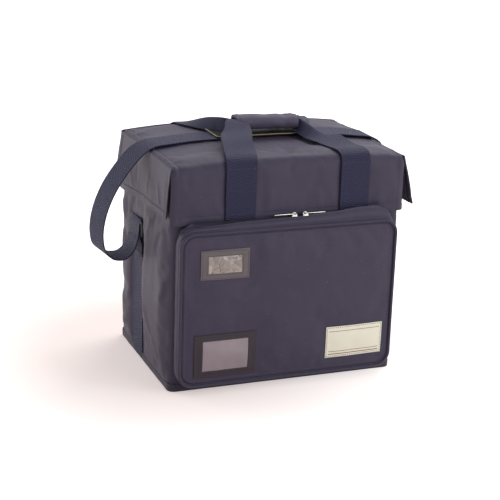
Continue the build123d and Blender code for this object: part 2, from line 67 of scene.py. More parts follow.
walls_low, walls_high = span("outer_cover")
lid_low, lid_high = span("lid_cover")
skirt_low = span("front_flap")[0]
rear_flap_high = span("rear_flap")[1]
left_flap_low, left_flap_high = span("left_flap")
liner_low, liner_high = span("inner_liner")
rim_high = span("rim_binding")[1]
panel_low, panel_high = span("pocket_front_panel")
ridge_low, ridge_high = span("zip_tape_rear")
slope_high = span("zip_tape_front")[1]
strap_low = span("strap_top")[0]
pad_low, pad_high = span("shoulder_pad")
grip_low, grip_high = span("grip_wrap")

half_width, half_depth = span("base_panel")[1].xy
lid_top = lid_high.z
skirt_bottom = skirt_low.z


# ================================================================ small helpers
def clamp(value, low=0.0, high=1.0):
    return min(max(value, low), high)


def smooth(start, end, value):
    """0 before start, 1 after end, and a soft step between them."""
    share = clamp((value - start) / (end - start))
    return share * share * (3 - 2 * share)


def ridge(distance, width):
    """1 on a line and 0 some way off it."""
    return exp(-((distance / width) ** 2))


def mix(a, b, share):
    return a + (b - a) * share


def lines(start, end, step):
    """Even lines from start to end, about step apart."""
    count = max(1, round(abs(end - start) / step))
    return [mix(start, end, i / count) for i in range(count + 1)]


def waves(x, y, size, height, seed=0.0):
    """Soft uneven waves about size across."""
    return height * noise.noise(Vector((x / size, y / size, seed)))


def crease(x, y, start, end, height, width):
    """Height at (x, y) of one fold that runs from start to end and fades at both."""
    run_x, run_y = end[0] - start[0], end[1] - start[1]
    length = hypot(run_x, run_y)
    along = ((x - start[0]) * run_x + (y - start[1]) * run_y) / length**2
    off = ((x - start[0]) * run_y - (y - start[1]) * run_x) / length
    if not -0.1 < along < 1.1 or abs(off) > 3 * width:
        return 0.0
    return height * ridge(off, width) * smooth(0, 0.3, along) * smooth(1, 0.7, along)


def deselect():
    bpy.ops.object.select_all(action="DESELECT")


def choose(*pieces):
    deselect()
    for piece in pieces:
        piece.select_set(True)
    bpy.context.view_layer.objects.active = pieces[0]


def named(name):
    """Name the object that an operator has just made."""
    piece = bpy.context.object
    piece.name = name
    piece.data.name = name
    return piece


def linked(name, data):
    """A new object for this data, in the scene."""
    piece = bpy.data.objects.new(name, data)
    bpy.context.scene.collection.objects.link(piece)
    return piece


def settle_place(piece):
    """Put a piece's place, turn and scale into its mesh."""
    choose(piece)
    bpy.ops.object.transform_apply(location=True, rotation=True, scale=True)


def block(name, size, middle):
    """A box by its size and its middle."""
    deselect()
    bpy.ops.mesh.primitive_cube_add(size=1)
    piece = named(name)
    piece.scale = tuple(c * MM for c in size)
    piece.location = tuple(c * MM for c in middle)
    settle_place(piece)
    return piece


def modify(piece, kind, **settings):
    """Add one modifier with these settings and apply it."""
    choose(piece)
    modifier = piece.modifiers.new(kind, kind)
    for name, value in settings.items():
        setattr(modifier, name, value)
    bpy.ops.object.modifier_apply(modifier=modifier.name)


def soften(piece, width, segments=2, angle=50):
    """Round the edges that turn by more than this angle."""
    modify(
        piece, "BEVEL", width=width * MM, segments=segments, limit_method="ANGLE",
        angle_limit=radians(angle),
    )


def smooth_shade(piece, angle=40):
    choose(piece)
    bpy.ops.object.shade_smooth_by_angle(angle=radians(angle))


def join(name, pieces):
    """Join pieces into the first one."""
    choose(*pieces)
    if len(pieces) > 1:
        bpy.ops.object.join()
    return named(name)


# ================================================================ cloth
places = {}
weld_distance = 0.05
cloth_settings = {
    "vertex_group_mass": "sewn", "quality": 5, "mass": 0.15, "tension_stiffness": 12,
    "compression_stiffness": 12, "shear_stiffness": 4, "bending_stiffness": 0.6,
    "air_damping": 4, "use_pressure": True,
}


def panel(name, us, vs, place, closed=False):
    """A sheet with lines at us and vs. place(u, v) gives each crossing's point, and the
    sheet's own map holds u and v in metres. Its outside is where u turns into v."""
    deselect()
    bpy.ops.mesh.primitive_grid_add(
        x_subdivisions=len(us) - 1, y_subdivisions=len(vs) - 1, size=1,
    )
    piece = named(name)
    crossings = [(u, v) for v in vs for u in us]
    points = [Vector(place(u, v)) * MM for u, v in crossings]
    piece.data.vertices.foreach_set("co", [c for point in points for c in point])
    layer = piece.data.uv_layers[0]
    layer.name = "cloth"
    flat = [c * MM for loop in piece.data.loops for c in crossings[loop.vertex_index]]
    layer.data.foreach_set("uv", flat)
    if closed:
        bpy.ops.object.mode_set(mode="EDIT")
        bpy.ops.mesh.select_all(action="SELECT")
        bpy.ops.mesh.remove_doubles(threshold=weld_distance * MM)
        bpy.ops.object.mode_set(mode="OBJECT")
    piece.data.update()
    places[name] = place
    return piece


def cloth_map(piece):
    """Each vertex's own u and v, in millimetres."""
    flat = [None] * len(piece.data.vertices)
    uvs = piece.data.uv_layers[0].data
    for loop in piece.data.loops:
        if flat[loop.vertex_index] is None:
            uv = uvs[loop.index].uv
            flat[loop.vertex_index] = (uv.x / MM, uv.y / MM)
    return flat


def emboss(piece, height):
    """Raise each point of a sheet along its normal by height(u, v)."""
    flat = cloth_map(piece)
    normals = [vertex.normal.copy() for vertex in piece.data.vertices]
    for vertex, normal, (u, v) in zip(piece.data.vertices, normals, flat):
        vertex.co += normal * (height(u, v) * MM)
    piece.data.update()


def billow(piece, held, pressure, slack, frames=16, reach=9.0):
    """Let a sheet find its folds as cloth. held(u, v) is 1 where it is sewn down, slack is
    the spare cloth as a share, and no point moves further than reach."""
    group = piece.vertex_groups.new(name="sewn")
    for index, (u, v) in enumerate(cloth_map(piece)):
        group.add([index], held(u, v), "REPLACE")
    rest = [vertex.co.copy() for vertex in piece.data.vertices]
    choose(piece)
    modifier = piece.modifiers.new("cloth", "CLOTH")
    cloth = modifier.settings
    for name, value in cloth_settings.items():
        setattr(cloth, name, value)
    cloth.shrink_min = -slack
    cloth.shrink_max = -slack
    cloth.uniform_pressure_force = pressure
    cloth.effector_weights.gravity = 0
    modifier.collision_settings.use_self_collision = False
    modifier.collision_settings.use_collision = False
    modifier.point_cache.frame_start = 1
    modifier.point_cache.frame_end = frames
    for step in range(1, frames + 1):
        bpy.context.scene.frame_set(step)
    bpy.ops.object.modifier_apply(modifier=modifier.name)
    bpy.context.scene.frame_set(1)
    for vertex, start in zip(piece.data.vertices, rest):
        moved = vertex.co - start
        if moved.length > reach * MM:
            vertex.co = start + moved * (reach * MM / moved.length)
    piece.vertex_groups.clear()
    piece.data.update()


def refine(piece, levels):
    modify(
        piece, "SUBSURF", levels=levels, render_levels=levels,
        uv_smooth="NONE", boundary_smooth="PRESERVE_CORNERS",
    )


def thicken(piece, thickness, offset=-1.0):
    """Give a sheet its thickness, inwards unless offset says otherwise."""
    modify(
        piece, "SOLIDIFY", thickness=thickness * MM, offset=offset, use_even_offset=True,
    )


def fill_out(piece, levels, relief, thickness):
    """Refine a sheet, raise its relief and give it its thickness."""
    refine(piece, levels)
    emboss(piece, relief)
    thicken(piece, thickness)
    smooth_shade(piece, 60)


def rounded_loop(half_x, half_y, radius):
    """The length of a rounded rectangle, and a function that gives its point and outward
    normal at each length. It starts at the left of the lower side and turns left."""
    arc = pi / 2 * radius
    runs = [2 * (half_x - radius), arc, 2 * (half_y - radius), arc] * 2
    total = sum(runs)

    def at(length):
        length %= total
        side = 0
        for index, run in enumerate(runs):
            side = index
            if length <= run:
                break
            length -= run
        heading = side // 2 * pi / 2
        wide = side // 2 % 2 == 0
        along = (half_x if wide else half_y) - radius
        out = (half_y if wide else half_x) - radius
        if side % 2 == 0:
            normal = (sin(heading), -cos(heading))
            step = length - along
            return (
                normal[0] * (out + radius) + cos(heading) * step,
                normal[1] * (out + radius) + sin(heading) * step,
            ), normal
        turn = heading + length / radius
        normal = (sin(turn), -cos(turn))
        centre = (
            sin(heading) * out + cos(heading) * along,
            -cos(heading) * out + sin(heading) * along,
        )
        return (centre[0] + radius * normal[0], centre[1] + radius * normal[1]), normal

    return total, at


def filleted(points, radii):
    """The length of a flat line with rounded corners, and a function that gives its point
    and left-hand normal at each length."""
    runs = []
    here = Vector(points[0])
    for index in range(1, len(points)):
        corner = Vector(points[index])
        heading = (corner - here).normalized()
        if index == len(points) - 1:
            runs.append(("run", here, heading, (corner - here).length))
            break
        after = (Vector(points[index + 1]) - corner).normalized()
        turn = atan2(heading.x * after.y - heading.y * after.x, heading.dot(after))
        radius = radii[index - 1]
        back = radius * tan(abs(turn) / 2)
        start = corner - heading * back
        runs.append(("run", here, heading, (start - here).length))
        runs.append(("arc", start, heading, abs(turn) * radius, radius, turn))
        here = corner + after * back
    total = sum(run[3] for run in runs)

    def at(length):
        for run in runs:
            if length <= run[3] or run is runs[-1]:
                break
            length -= run[3]
        _, start, heading = run[:3]
        left = Vector((-heading.y, heading.x))
        if run[0] == "run":
            return start + heading * length, left
        radius, turn = run[4:]
        sign = 1 if turn > 0 else -1
        angle = length / radius
        point = start + heading * (radius * sin(angle))
        point = point + left * (sign * radius * (1 - cos(angle)))
        normal = left * cos(angle) - heading * (sign * sin(angle))
        return point, normal

    return total, at


class Route:
    """A smooth line through points, with the direction across it at each of them."""

    def __init__(self, stops, samples=24):
        points = [Vector(point) for point, across in stops]
        sides = [Vector(across).normalized() for point, across in stops]
        points = [points[0] * 2 - points[1], *points, points[-1] * 2 - points[-2]]
        sides = [sides[0], *sides, sides[-1]]
        self.points, self.sides, self.lengths = [], [], [0.0]
        for a, b, c, d, side_a, side_b in zip(
            points, points[1:], points[2:], points[3:], sides[1:], sides[2:]
        ):
            knots = [0.0]
            for p, q in ((a, b), (b, c), (c, d)):
                knots.append(knots[-1] + (q - p).length ** 0.5)
            for step in range(samples):
                share = step / samples
                t = mix(knots[1], knots[2], share)
                ab = mix(a, b, (t - knots[0]) / (knots[1] - knots[0]))
                bc = mix(b, c, (t - knots[1]) / (knots[2] - knots[1]))
                cd = mix(c, d, (t - knots[2]) / (knots[3] - knots[2]))
                abc = mix(ab, bc, (t - knots[0]) / (knots[2] - knots[0]))
                bcd = mix(bc, cd, (t - knots[1]) / (knots[3] - knots[1]))
                self.points.append(mix(abc, bcd, (t - knots[1]) / (knots[2] - knots[1])))
                self.sides.append(mix(side_a, side_b, smooth(0, 1, share)).normalized())
        self.points.append(points[-2])
        self.sides.append(sides[-1])
        for p, q in zip(self.points, self.points[1:]):
            self.lengths.append(self.lengths[-1] + (q - p).length)
        self.total = self.lengths[-1]

    def at(self, length):
        """Point, direction across and normal at a length along the line."""
        length = clamp(length, 0.0, self.total)
        low, high = 0, len(self.lengths) - 1
        while high - low > 1:
            middle = (low + high) // 2
            if self.lengths[middle] <= length:
                low = middle
            else:
                high = middle
        share = (length - self.lengths[low]) / (self.lengths[high] - self.lengths[low])
        point = mix(self.points[low], self.points[high], share)
        before = self.points[max(low - 1, 0)]
        after = self.points[min(high + 1, len(self.points) - 1)]
        heading = (after - before).normalized()
        side = mix(self.sides[low], self.sides[high], share)
        side = (side - heading * side.dot(heading)).normalized()
        return point, side, side.cross(heading)


def woven_strip(name, us, route, place, thickness, step):
    """Webbing along a route, laid by place(u, v), with soft edges."""
    piece = panel(name, us, lines(0, route.total, step), place)
    thicken(piece, thickness, offset=0.0)
    soften(piece, min(0.3 * thickness, 0.6))
    smooth_shade(piece, 50)
    return piece


def webbing(name, route, width, thickness, step=4.0):
    """Flat woven webbing along a route, on both sides of its line."""
    us = [-0.5, -0.47, -0.4, -0.27, -0.13, 0, 0.13, 0.27, 0.4, 0.47, 0.5]
    us = [u * width for u in us]

    def place(u, v):
        point, side, _ = route.at(v)
        return point + side * u

    return woven_strip(name, us, route, place, thickness, step)


def line_through(name, points, cyclic=False):
    """A curve object that runs straight from point to point, which are in metres."""
    curve = bpy.data.curves.new(name, "CURVE")
    curve.dimensions = "3D"
    line = curve.splines.new("POLY")
    line.points.add(len(points) - 1)
    line.points.foreach_set("co", [c for point in points for c in (*point, 1.0)])
    line.use_cyclic_u = cyclic
    return linked(name, curve)


def welt(name, points, radius, cyclic=False, sides=6):
    """A round cord sewn along points."""
    piece = line_through(name, [Vector(point) * MM for point in points], cyclic)
    piece.data.bevel_depth = radius * MM
    piece.data.bevel_resolution = sides // 2 - 1
    piece.data.use_fill_caps = True
    choose(piece)
    bpy.ops.object.convert(target="MESH")
    smooth_shade(named(name), 60)
    return bpy.context.object


# ================================================================ stitching
stitch_length = 2.6
stitch_pitch = 3.6
stitch_radius = 0.42
row_step = 6


def stitch_row(piece, points, lift=0.15):
    """A row of stitches through points, each laid on the piece's surface."""
    laid = []
    for point, after in zip(points, points[1:]):
        count = max(1, round((Vector(after) - Vector(point)).length / stitch_pitch))
        laid += [mix(Vector(point), Vector(after), i / count) for i in range(count)]
    laid.append(Vector(points[-1]))
    spots = []
    for point in laid:
        _, close, normal, _ = piece.closest_point_on_mesh(point * MM)
        spots.append(close + normal * lift * MM)
    guide = line_through("guide", spots)
    deselect()
    bpy.ops.mesh.primitive_uv_sphere_add(segments=6, ring_count=4, radius=stitch_radius * MM)
    row = named("stitches")
    row.rotation_euler = (0, pi / 2, 0)
    settle_place(row)
    row.scale = (stitch_length / (2 * stitch_radius), 1, 1)
    row.location = (stitch_length / 2 * MM, 0, 0)
    settle_place(row)
    modify(
        row, "ARRAY", fit_type="FIT_CURVE", curve=guide, use_relative_offset=False,
        use_constant_offset=True, constant_offset_displace=(stitch_pitch * MM, 0, 0),
    )
    modify(row, "CURVE", object=guide, deform_axis="POS_X")
    bpy.data.objects.remove(guide)
    return row


def stitching(name, piece, rows, lift=0.15):
    """Rows of stitches on a sheet, each row as (u, v) points on the sheet's own map."""
    place = places[piece.name]
    made = []
    for row in rows:
        dense = []
        for (u, v), (next_u, next_v) in zip(row, row[1:]):
            count = max(1, round(hypot(next_u - u, next_v - v) / row_step))
            shares = [i / count for i in range(count)]
            dense += [(mix(u, next_u, share), mix(v, next_v, share)) for share in shares]
        dense.append(row[-1])
        made.append(stitch_row(piece, [place(u, v) for u, v in dense], lift))
    threads = join(name, made)
    smooth_shade(threads, 70)
    return threads


# ================================================================ finishes
def node_group(name, inputs, outputs):
    """A shader node group with named sockets, each (name, kind, value) or (name, kind)."""
    tree = bpy.data.node_groups.new(name, "ShaderNodeTree")
    for label, kind, value in inputs:
        socket = tree.interface.new_socket(label, in_out="INPUT", socket_type=f"NodeSocket{kind}")
        if value is not None:
            socket.default_value = value
    for label, kind in outputs:
        tree.interface.new_socket(label, in_out="OUTPUT", socket_type=f"NodeSocket{kind}")
    return tree, tree.nodes.new("NodeGroupInput"), tree.nodes.new("NodeGroupOutput")


def node(tree, kind, links=(), **settings):
    """Add a node. links pairs its sockets with a value, or with a socket that feeds it."""
    made = tree.nodes.new(f"ShaderNode{kind}")
    for name, value in settings.items():
        setattr(made, name, value)  # a group's tree comes before its sockets
    for socket, value in links:
        target = made.inputs[socket]
        if isinstance(value, bpy.types.NodeSocket):
            tree.links.new(value, target)
        else:
            target.default_value = value
    return made


def maths(tree, operation, *values):
    return node(tree, "Math", list(enumerate(values)), operation=operation).outputs[0]


def plain_weave():
    """Crossing threads, size metres apart, as a height from 0 to 1."""
    tree, start, end = node_group(
        "plain weave", [("Vector", "Vector", None), ("Thread", "Float", 0.0005)],
        [("Height", "Float")],
    )
    parts = node(tree, "SeparateXYZ", [(0, start.outputs["Vector"])])
    turn = maths(tree, "DIVIDE", pi, start.outputs["Thread"])
    along = maths(tree, "SINE", maths(tree, "MULTIPLY", parts.outputs[0], turn))
    across = maths(tree, "SINE", maths(tree, "MULTIPLY", parts.outputs[1], turn))
    height = maths(tree, "MULTIPLY_ADD", maths(tree, "MULTIPLY", along, across), 0.5, 0.5)
    tree.links.new(height, end.inputs["Height"])
    return tree


def rib_weave():
    """The slanting ribs of flat webbing, which turn back every few threads."""
    tree, start, end = node_group(
        "rib weave",
        [("Vector", "Vector", None), ("Rib", "Float", 0.0022), ("Panel", "Float", 0.0125)],
        [("Height", "Float")],
    )
    parts = node(tree, "SeparateXYZ", [(0, start.outputs["Vector"])])
    slant = maths(tree, "PINGPONG", parts.outputs[0], start.outputs["Panel"])
    slant = maths(tree, "MULTIPLY", slant, 0.35)
    place = maths(tree, "ADD", parts.outputs[1], slant)
    turn = maths(tree, "DIVIDE", 2 * pi, start.outputs["Rib"])
    rib = maths(tree, "SINE", maths(tree, "MULTIPLY", place, turn))
    fine = maths(tree, "MULTIPLY", parts.outputs[0], 2 * pi / 0.0011)
    thread = maths(tree, "MULTIPLY", maths(tree, "SINE", fine), 0.3)
    height = maths(tree, "MULTIPLY_ADD", maths(tree, "ADD", rib, thread), 0.38, 0.5)
    tree.links.new(height, end.inputs["Height"])
    return tree


def handling():
    """Uneven dye, lint and rubbed patches: a shade from 0 to 1, and soft small dents."""
    tree, start, end = node_group(
        "handling", [("Vector", "Vector", None), ("Patch", "Float", 14.0)],
        [("Shade", "Float"), ("Dents", "Float"), ("Lint", "Float")],
    )
    vector = start.outputs["Vector"]
    broad = node(tree, "TexNoise", [("Vector", vector), ("Scale", start.outputs["Patch"]),
                                    ("Detail", 3.0), ("Roughness", 0.55)])
    fine = node(tree, "TexNoise", [("Vector", vector), ("Scale", 900.0), ("Detail", 2.0)])
    spread = maths(tree, "MULTIPLY", fine.outputs[0], 0.25)
    both = maths(tree, "MULTIPLY_ADD", broad.outputs[0], 0.75, spread)
    dents = node(tree, "TexNoise", [("Vector", vector), ("Scale", 70.0), ("Detail", 4.0),
                                    ("Roughness", 0.6), ("Distortion", 0.4)])
    lint = node(tree, "TexNoise", [("Vector", vector), ("Scale", 420.0), ("Detail", 1.0)])
    specks = node(tree, "MapRange", [(0, lint.outputs[0]), (1, 0.74), (2, 0.82)])
    tree.links.new(both, end.inputs["Shade"])
    tree.links.new(dents.outputs[0], end.inputs["Dents"])
    tree.links.new(specks.outputs[0], end.inputs["Lint"])
    return tree


weave_group = plain_weave()
rib_group = rib_weave()
handling_group = handling()


def grouped(tree, group, links):
    return node(tree, "Group", links, node_tree=group)


def finish_with(name, shader_values):
    """A material and its shader, with the shader's constant values set on its sockets."""
    made = bpy.data.materials.new(name)
    made.use_nodes = True
    tree = made.node_tree
    shader = tree.nodes["Principled BSDF"]
    for socket, value in shader_values.items():
        shader.inputs[socket].default_value = value
    return made, tree, shader


def mixed_colour(tree, dark, light, share):
    blend = node(tree, "Mix", data_type="RGBA")
    colour_in(blend, 0).default_value = (*dark, 1)
    colour_in(blend, 1).default_value = (*light, 1)
    tree.links.new(share, blend.inputs["Factor"])
    return blend


def colour_out(mix_node):
    return next(out for out in mix_node.outputs if out.type == "RGBA")


def colour_in(mix_node, which):
    return [socket for socket in mix_node.inputs if socket.type == "RGBA"][which]


def tone(red, green, blue):
    """A colour as seen on screen, from 0 to 255, as the shader's own values."""
    values = []
    for value in (red, green, blue):
        share = value / 255
        values.append(share / 12.92 if share <= 0.04045 else ((share + 0.055) / 1.055) ** 2.4)
    return tuple(values)


def cloth_finish(
    name, dark, light, weave, thread, weave_depth, roughness, dents=0.25, mapped=True,
    lint=0.0, valleys=0.35, **shader_values,
):
    """A woven finish. thread is the weave's size and weave_depth its height, in metres; valleys is
    how far painted shade darkens the weave's hollows.
    """
    made, tree, shader = finish_with(name, shader_values)
    coordinates = node(tree, "TexCoord")
    flat = coordinates.outputs["UV" if mapped else "Object"]
    around = coordinates.outputs["Object"]
    use = grouped(tree, handling_group, [("Vector", around)])
    size = "Thread" if weave is weave_group else "Rib"
    threads = grouped(tree, weave, [("Vector", flat), (size, thread)])
    base = mixed_colour(tree, dark, light, use.outputs["Shade"])
    # Painted shade in the weave: the colour darkens where the threads dip.
    valley_darkening = node(tree, "Mix", data_type="RGBA", blend_type="MULTIPLY")
    tree.links.new(
        maths(tree, "MULTIPLY", maths(tree, "SUBTRACT", 1.0, threads.outputs["Height"]), valleys),
        valley_darkening.inputs["Factor"],
    )
    tree.links.new(colour_out(base), colour_in(valley_darkening, 0))
    colour_in(valley_darkening, 1).default_value = (0.35, 0.35, 0.4, 1)
    top = colour_out(valley_darkening)
    if lint:
        dust = node(tree, "Mix", data_type="RGBA")
        tree.links.new(maths(tree, "MULTIPLY", use.outputs["Lint"], lint), dust.inputs["Factor"])
        tree.links.new(top, colour_in(dust, 0))
        colour_in(dust, 1).default_value = (0.55, 0.52, 0.5, 1)
        top = colour_out(dust)
    tree.links.new(top, shader.inputs["Base Color"])
    rough = node(tree, "MapRange", [(0, use.outputs["Shade"]), (3, roughness - 0.06),
                                    (4, roughness + 0.08)])
    tree.links.new(rough.outputs[0], shader.inputs["Roughness"])
    soft = node(tree, "Bump", [("Height", use.outputs["Dents"]), ("Strength", 1.0),
                               ("Distance", dents * MM)])
    woven = node(tree, "Bump", [("Height", threads.outputs["Height"]), ("Strength", 0.8),
                                ("Distance", weave_depth), ("Normal", soft.outputs[0])])
    tree.links.new(woven.outputs[0], shader.inputs["Normal"])
    return made


def moulded_finish(name, dark, light, roughness, grain=0.05, scale=1200.0, **shader_values):
    """Plastic, vinyl or metal with a fine grain."""
    made, tree, shader = finish_with(name, shader_values)
    around = node(tree, "TexCoord").outputs["Object"]
    use = grouped(tree, handling_group, [("Vector", around), ("Patch", 40.0)])
    base = mixed_colour(tree, dark, light, use.outputs["Shade"])
    tree.links.new(colour_out(base), shader.inputs["Base Color"])
    rough = node(tree, "MapRange", [(0, use.outputs["Shade"]), (3, roughness - 0.05),
                                    (4, roughness + 0.1)])
    tree.links.new(rough.outputs[0], shader.inputs["Roughness"])
    fine = node(tree, "TexNoise", [("Vector", around), ("Scale", scale), ("Detail", 2.0)])
    bump = node(tree, "Bump", [("Height", fine.outputs[0]), ("Strength", 0.6),
                               ("Distance", grain * MM)])
    tree.links.new(bump.outputs[0], shader.inputs["Normal"])
    return made


sheen = {
    "Sheen Weight": 0.06, "Sheen Roughness": 0.35, "Sheen Tint": (0.85, 0.74, 0.90, 1),
    "Specular IOR Level": 0.32, "Specular Tint": (0.95, 0.86, 1.0, 1),
}
navy = {
    "Sheen Weight": 0.03, "Sheen Roughness": 0.35, "Sheen Tint": (0.5, 0.5, 0.9, 1),
    "Specular IOR Level": 0.3, "Specular Tint": (0.66, 0.66, 1.0, 1),
}
film_skin = {"grain": 0.02, "scale": 300.0, "Coat Weight": 0.6, "Coat Roughness": 0.12}
finish_rows = {
    # name: (maker, darkest tone, lightest tone, what else it takes in order, and by name)
    "shell_nylon": (
        cloth_finish, (67, 62, 79), (81, 76, 95), (weave_group, 0.0006, 0.00012, 0.5),
        {"lint": 0.2, **sheen, "Specular IOR Level": 0.22},
    ),
    "binding_tape": (
        cloth_finish, (50, 46, 60), (64, 59, 74), (rib_group, 0.0016, 0.0002, 0.5),
        {"dents": 0.1, **sheen},
    ),
    # The webbings get deeper painted shade in the hollows of their ribs.
    "handle_webbing": (
        cloth_finish, (44, 43, 64), (57, 56, 81), (rib_group, 0.0036, 0.0007, 0.58),
        {"dents": 0.15, "lint": 0.12, "valleys": 0.7, **navy},
    ),
    "strap_webbing": (
        cloth_finish, (45, 46, 70), (58, 59, 88), (rib_group, 0.0042, 0.0011, 0.58),
        {"dents": 0.15, "lint": 0.12, "valleys": 0.9, **navy},
    ),
    "grip_padding": (
        cloth_finish, (84, 79, 97), (98, 93, 112), (weave_group, 0.0006, 0.00012, 0.6),
        {"lint": 0.2, **sheen},
    ),
    "liner_cloth": (
        cloth_finish, (150, 153, 160), (176, 178, 184), (weave_group, 0.0008, 0.0001, 0.36), {},
    ),
    "insulation_foam": (
        cloth_finish, (196, 196, 200), (222, 222, 224), (weave_group, 0.0030, 0.0006, 0.7),
        {"mapped": False},
    ),
    "stiffener_board": (moulded_finish, (40, 40, 44), (58, 58, 62), (0.6,), {}),
    "hook_loop": (
        cloth_finish, (30, 29, 38), (52, 50, 62), (weave_group, 0.0016, 0.0009, 0.85),
        {"mapped": False},
    ),
    "pad_vinyl": (
        moulded_finish, (20, 18, 22), (32, 29, 32), (0.62,),
        {"grain": 0.12, "scale": 700.0, "Specular IOR Level": 0.15},
    ),
    "black_plastic": (moulded_finish, (14, 14, 16), (24, 24, 27), (0.28,), {}),
    "zip_coil": (moulded_finish, (40, 37, 48), (56, 52, 66), (0.35,), {}),
    "zip_metal": (
        moulded_finish, (205, 200, 192), (235, 230, 222), (0.18,),
        {"grain": 0.02, "Metallic": 1.0},
    ),
    # Both window frames are black vinyl: their greys are painted reflection of light, paler on the
    # upper frame.
    "window_vinyl_upper": (
        moulded_finish, (84, 76, 78), (104, 94, 96), (0.36,), {"grain": 0.1},
    ),
    "window_vinyl_lower": (
        moulded_finish, (44, 35, 42), (58, 48, 55), (0.42,),
        {"grain": 0.1, "Specular IOR Level": 0.3},
    ),
    "label_vinyl": (
        moulded_finish, (252, 249, 226), (255, 253, 236), (0.32,), {"grain": 0.03},
    ),
    "clear_film": (moulded_finish, (133, 119, 127), (157, 142, 150), (0.3,), film_skin),
    "sewing_thread": (moulded_finish, (54, 50, 66), (78, 73, 92), (0.5,), {}),
    "label_rules": (moulded_finish, (120, 60, 56), (140, 74, 68), (0.4,), {}),
    # pale tan cord on the black vinyl pad: a painted highlight along its edge
    "pad_edge": (moulded_finish, (150, 134, 106), (180, 164, 134), (0.45,), {}),
}
finishes = {
    name: maker(name, tone(*dark), tone(*light), *values, **settings)
    for name, (maker, dark, light, values, settings) in finish_rows.items()
}


def creased_film(name, plain, dark, pale):
    """Clear film, crumpled: painted shade along sharp creases, between facets lit more or less by
    painted highlights.
    """
    made = moulded_finish(name, plain, plain, 0.24, **film_skin)
    tree = made.node_tree
    shader = tree.nodes["Principled BSDF"]
    around = node(tree, "TexCoord").outputs["Object"]
    bent = node(tree, "TexNoise", [("Vector", around), ("Scale", 60.0), ("Detail", 2.0)])
    pushed = node(tree, "VectorMath", [(0, bent.outputs["Color"]), (1, (0.014, 0.014, 0.014))],
                  operation="MULTIPLY")
    place = node(tree, "VectorMath", [(0, around), (1, pushed.outputs[0])], operation="ADD")
    cells = node(tree, "TexVoronoi", [("Vector", place.outputs[0]), ("Scale", 75.0)],
                 feature="DISTANCE_TO_EDGE")
    facets = node(tree, "TexVoronoi", [("Vector", place.outputs[0]), ("Scale", 75.0)])
    crease_shade = node(tree, "MapRange", [(0, cells.outputs["Distance"]), (1, 0.0), (2, 0.07),
                                      (3, 1.0), (4, 0.0)]).outputs[0]
    patches = node(tree, "TexNoise", [("Vector", around), ("Scale", 90.0), ("Detail", 1.0)])
    drawn = node(tree, "MapRange", [(0, patches.outputs[0]), (1, 0.5), (2, 0.62)]).outputs[0]
    tint = node(tree, "SeparateXYZ", [(0, facets.outputs["Color"])])
    face = mixed_colour(tree, plain, pale, tint.outputs[0])
    mixed = mixed_colour(tree, plain, dark, maths(tree, "MULTIPLY", crease_shade, drawn))
    tree.links.new(colour_out(face), colour_in(mixed, 0))
    tree.links.new(colour_out(mixed), shader.inputs["Base Color"])
    bump = node(tree, "Bump", [("Height", cells.outputs["Distance"]), ("Strength", 0.9),
                               ("Distance", 0.0016)])
    tree.links.new(bump.outputs[0], shader.inputs["Normal"])
    return made


# Plain film colour, the painted shade of its creases and the painted highlight of its facets.
finishes["creased_film"] = creased_film(
    "creased_film", tone(140, 127, 122), tone(84, 72, 68), tone(186, 172, 162),
)


def dress(piece, slot, bodies, nodes=(), rise=None, finish=None):
    """Give a piece its finish, its body, and the nodes it stands for; a piece given a pair of
    bodies is attached to neither.
    rise is not used."""
    piece.data.materials.clear()
    piece.data.materials.append(finish or finishes[slot])
    if isinstance(bodies, str):
        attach(piece, bodies)
    else:
        start, end = (Vector(point) * MM for point in rise)
        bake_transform(piece)
    if nodes:
        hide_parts(*nodes)
    return piece


def sew(name, piece, rows, slot, bodies, rise=None, lift=0.15):
    """Stitching that goes with a piece."""
    threads = stitching(name, piece, rows, lift)
    return dress(threads, slot, bodies, rise=rise, finish=finishes["sewing_thread"])


# ================================================================ padded body
corner_radius = 10.0
ring_y = 32.0
leg_half = 25.0
seam_side = 5.5  # from the middle of a corner to the stitching beside it
side_strip_top = 212
end_strip_top = 262  # also where the walls' own stitching stops
left_leg_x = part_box("front_handle_leg_left")[0].x / MM + leg_half
right_leg_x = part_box("front_handle_leg_right")[0].x / MM + leg_half
leg_xs = (left_leg_x, right_leg_x)

wall_total, wall_at = rounded_loop(half_width, half_depth, corner_radius)
front_run = 2 * (half_width - corner_radius)
side_run = 2 * (half_depth - corner_radius)
corner_run = pi / 2 * corner_radius
right_start = front_run + corner_run
rear_start = right_start + side_run + corner_run
left_start = rear_start + front_run + corner_run
corner_middles = [
    front_run + corner_run / 2, rear_start - corner_run / 2,
    left_start - corner_run / 2, wall_total - corner_run / 2,
]


def left_wall_u(y):
    return left_start + half_depth - corner_radius - y


def right_wall_u(y):
    return right_start + half_depth - corner_radius + y


def rear_wall_u(x):
    return rear_start + half_width - corner_radius - x


sewn_strips = [
    # (middle, top) of each webbing that is sewn to the walls
    (left_wall_u(ring_y), side_strip_top), (right_wall_u(ring_y), side_strip_top),
    *((rear_wall_u(x), end_strip_top) for x in leg_xs),
    *((x + half_width - corner_radius, end_strip_top) for x in leg_xs),
]


def near_strip(u, v):
    """1 on the wall where webbing is sewn to it, and 0 away from it."""
    return max(smooth(leg_half + 4, leg_half - 2, abs(u - strip)) * (v < top)
               for strip, top in sewn_strips)


def near_corner(u):
    """1 on the wall where two panels are sewn together at a corner."""
    return max(smooth(9, 5, abs(u - middle)) for middle in corner_middles)


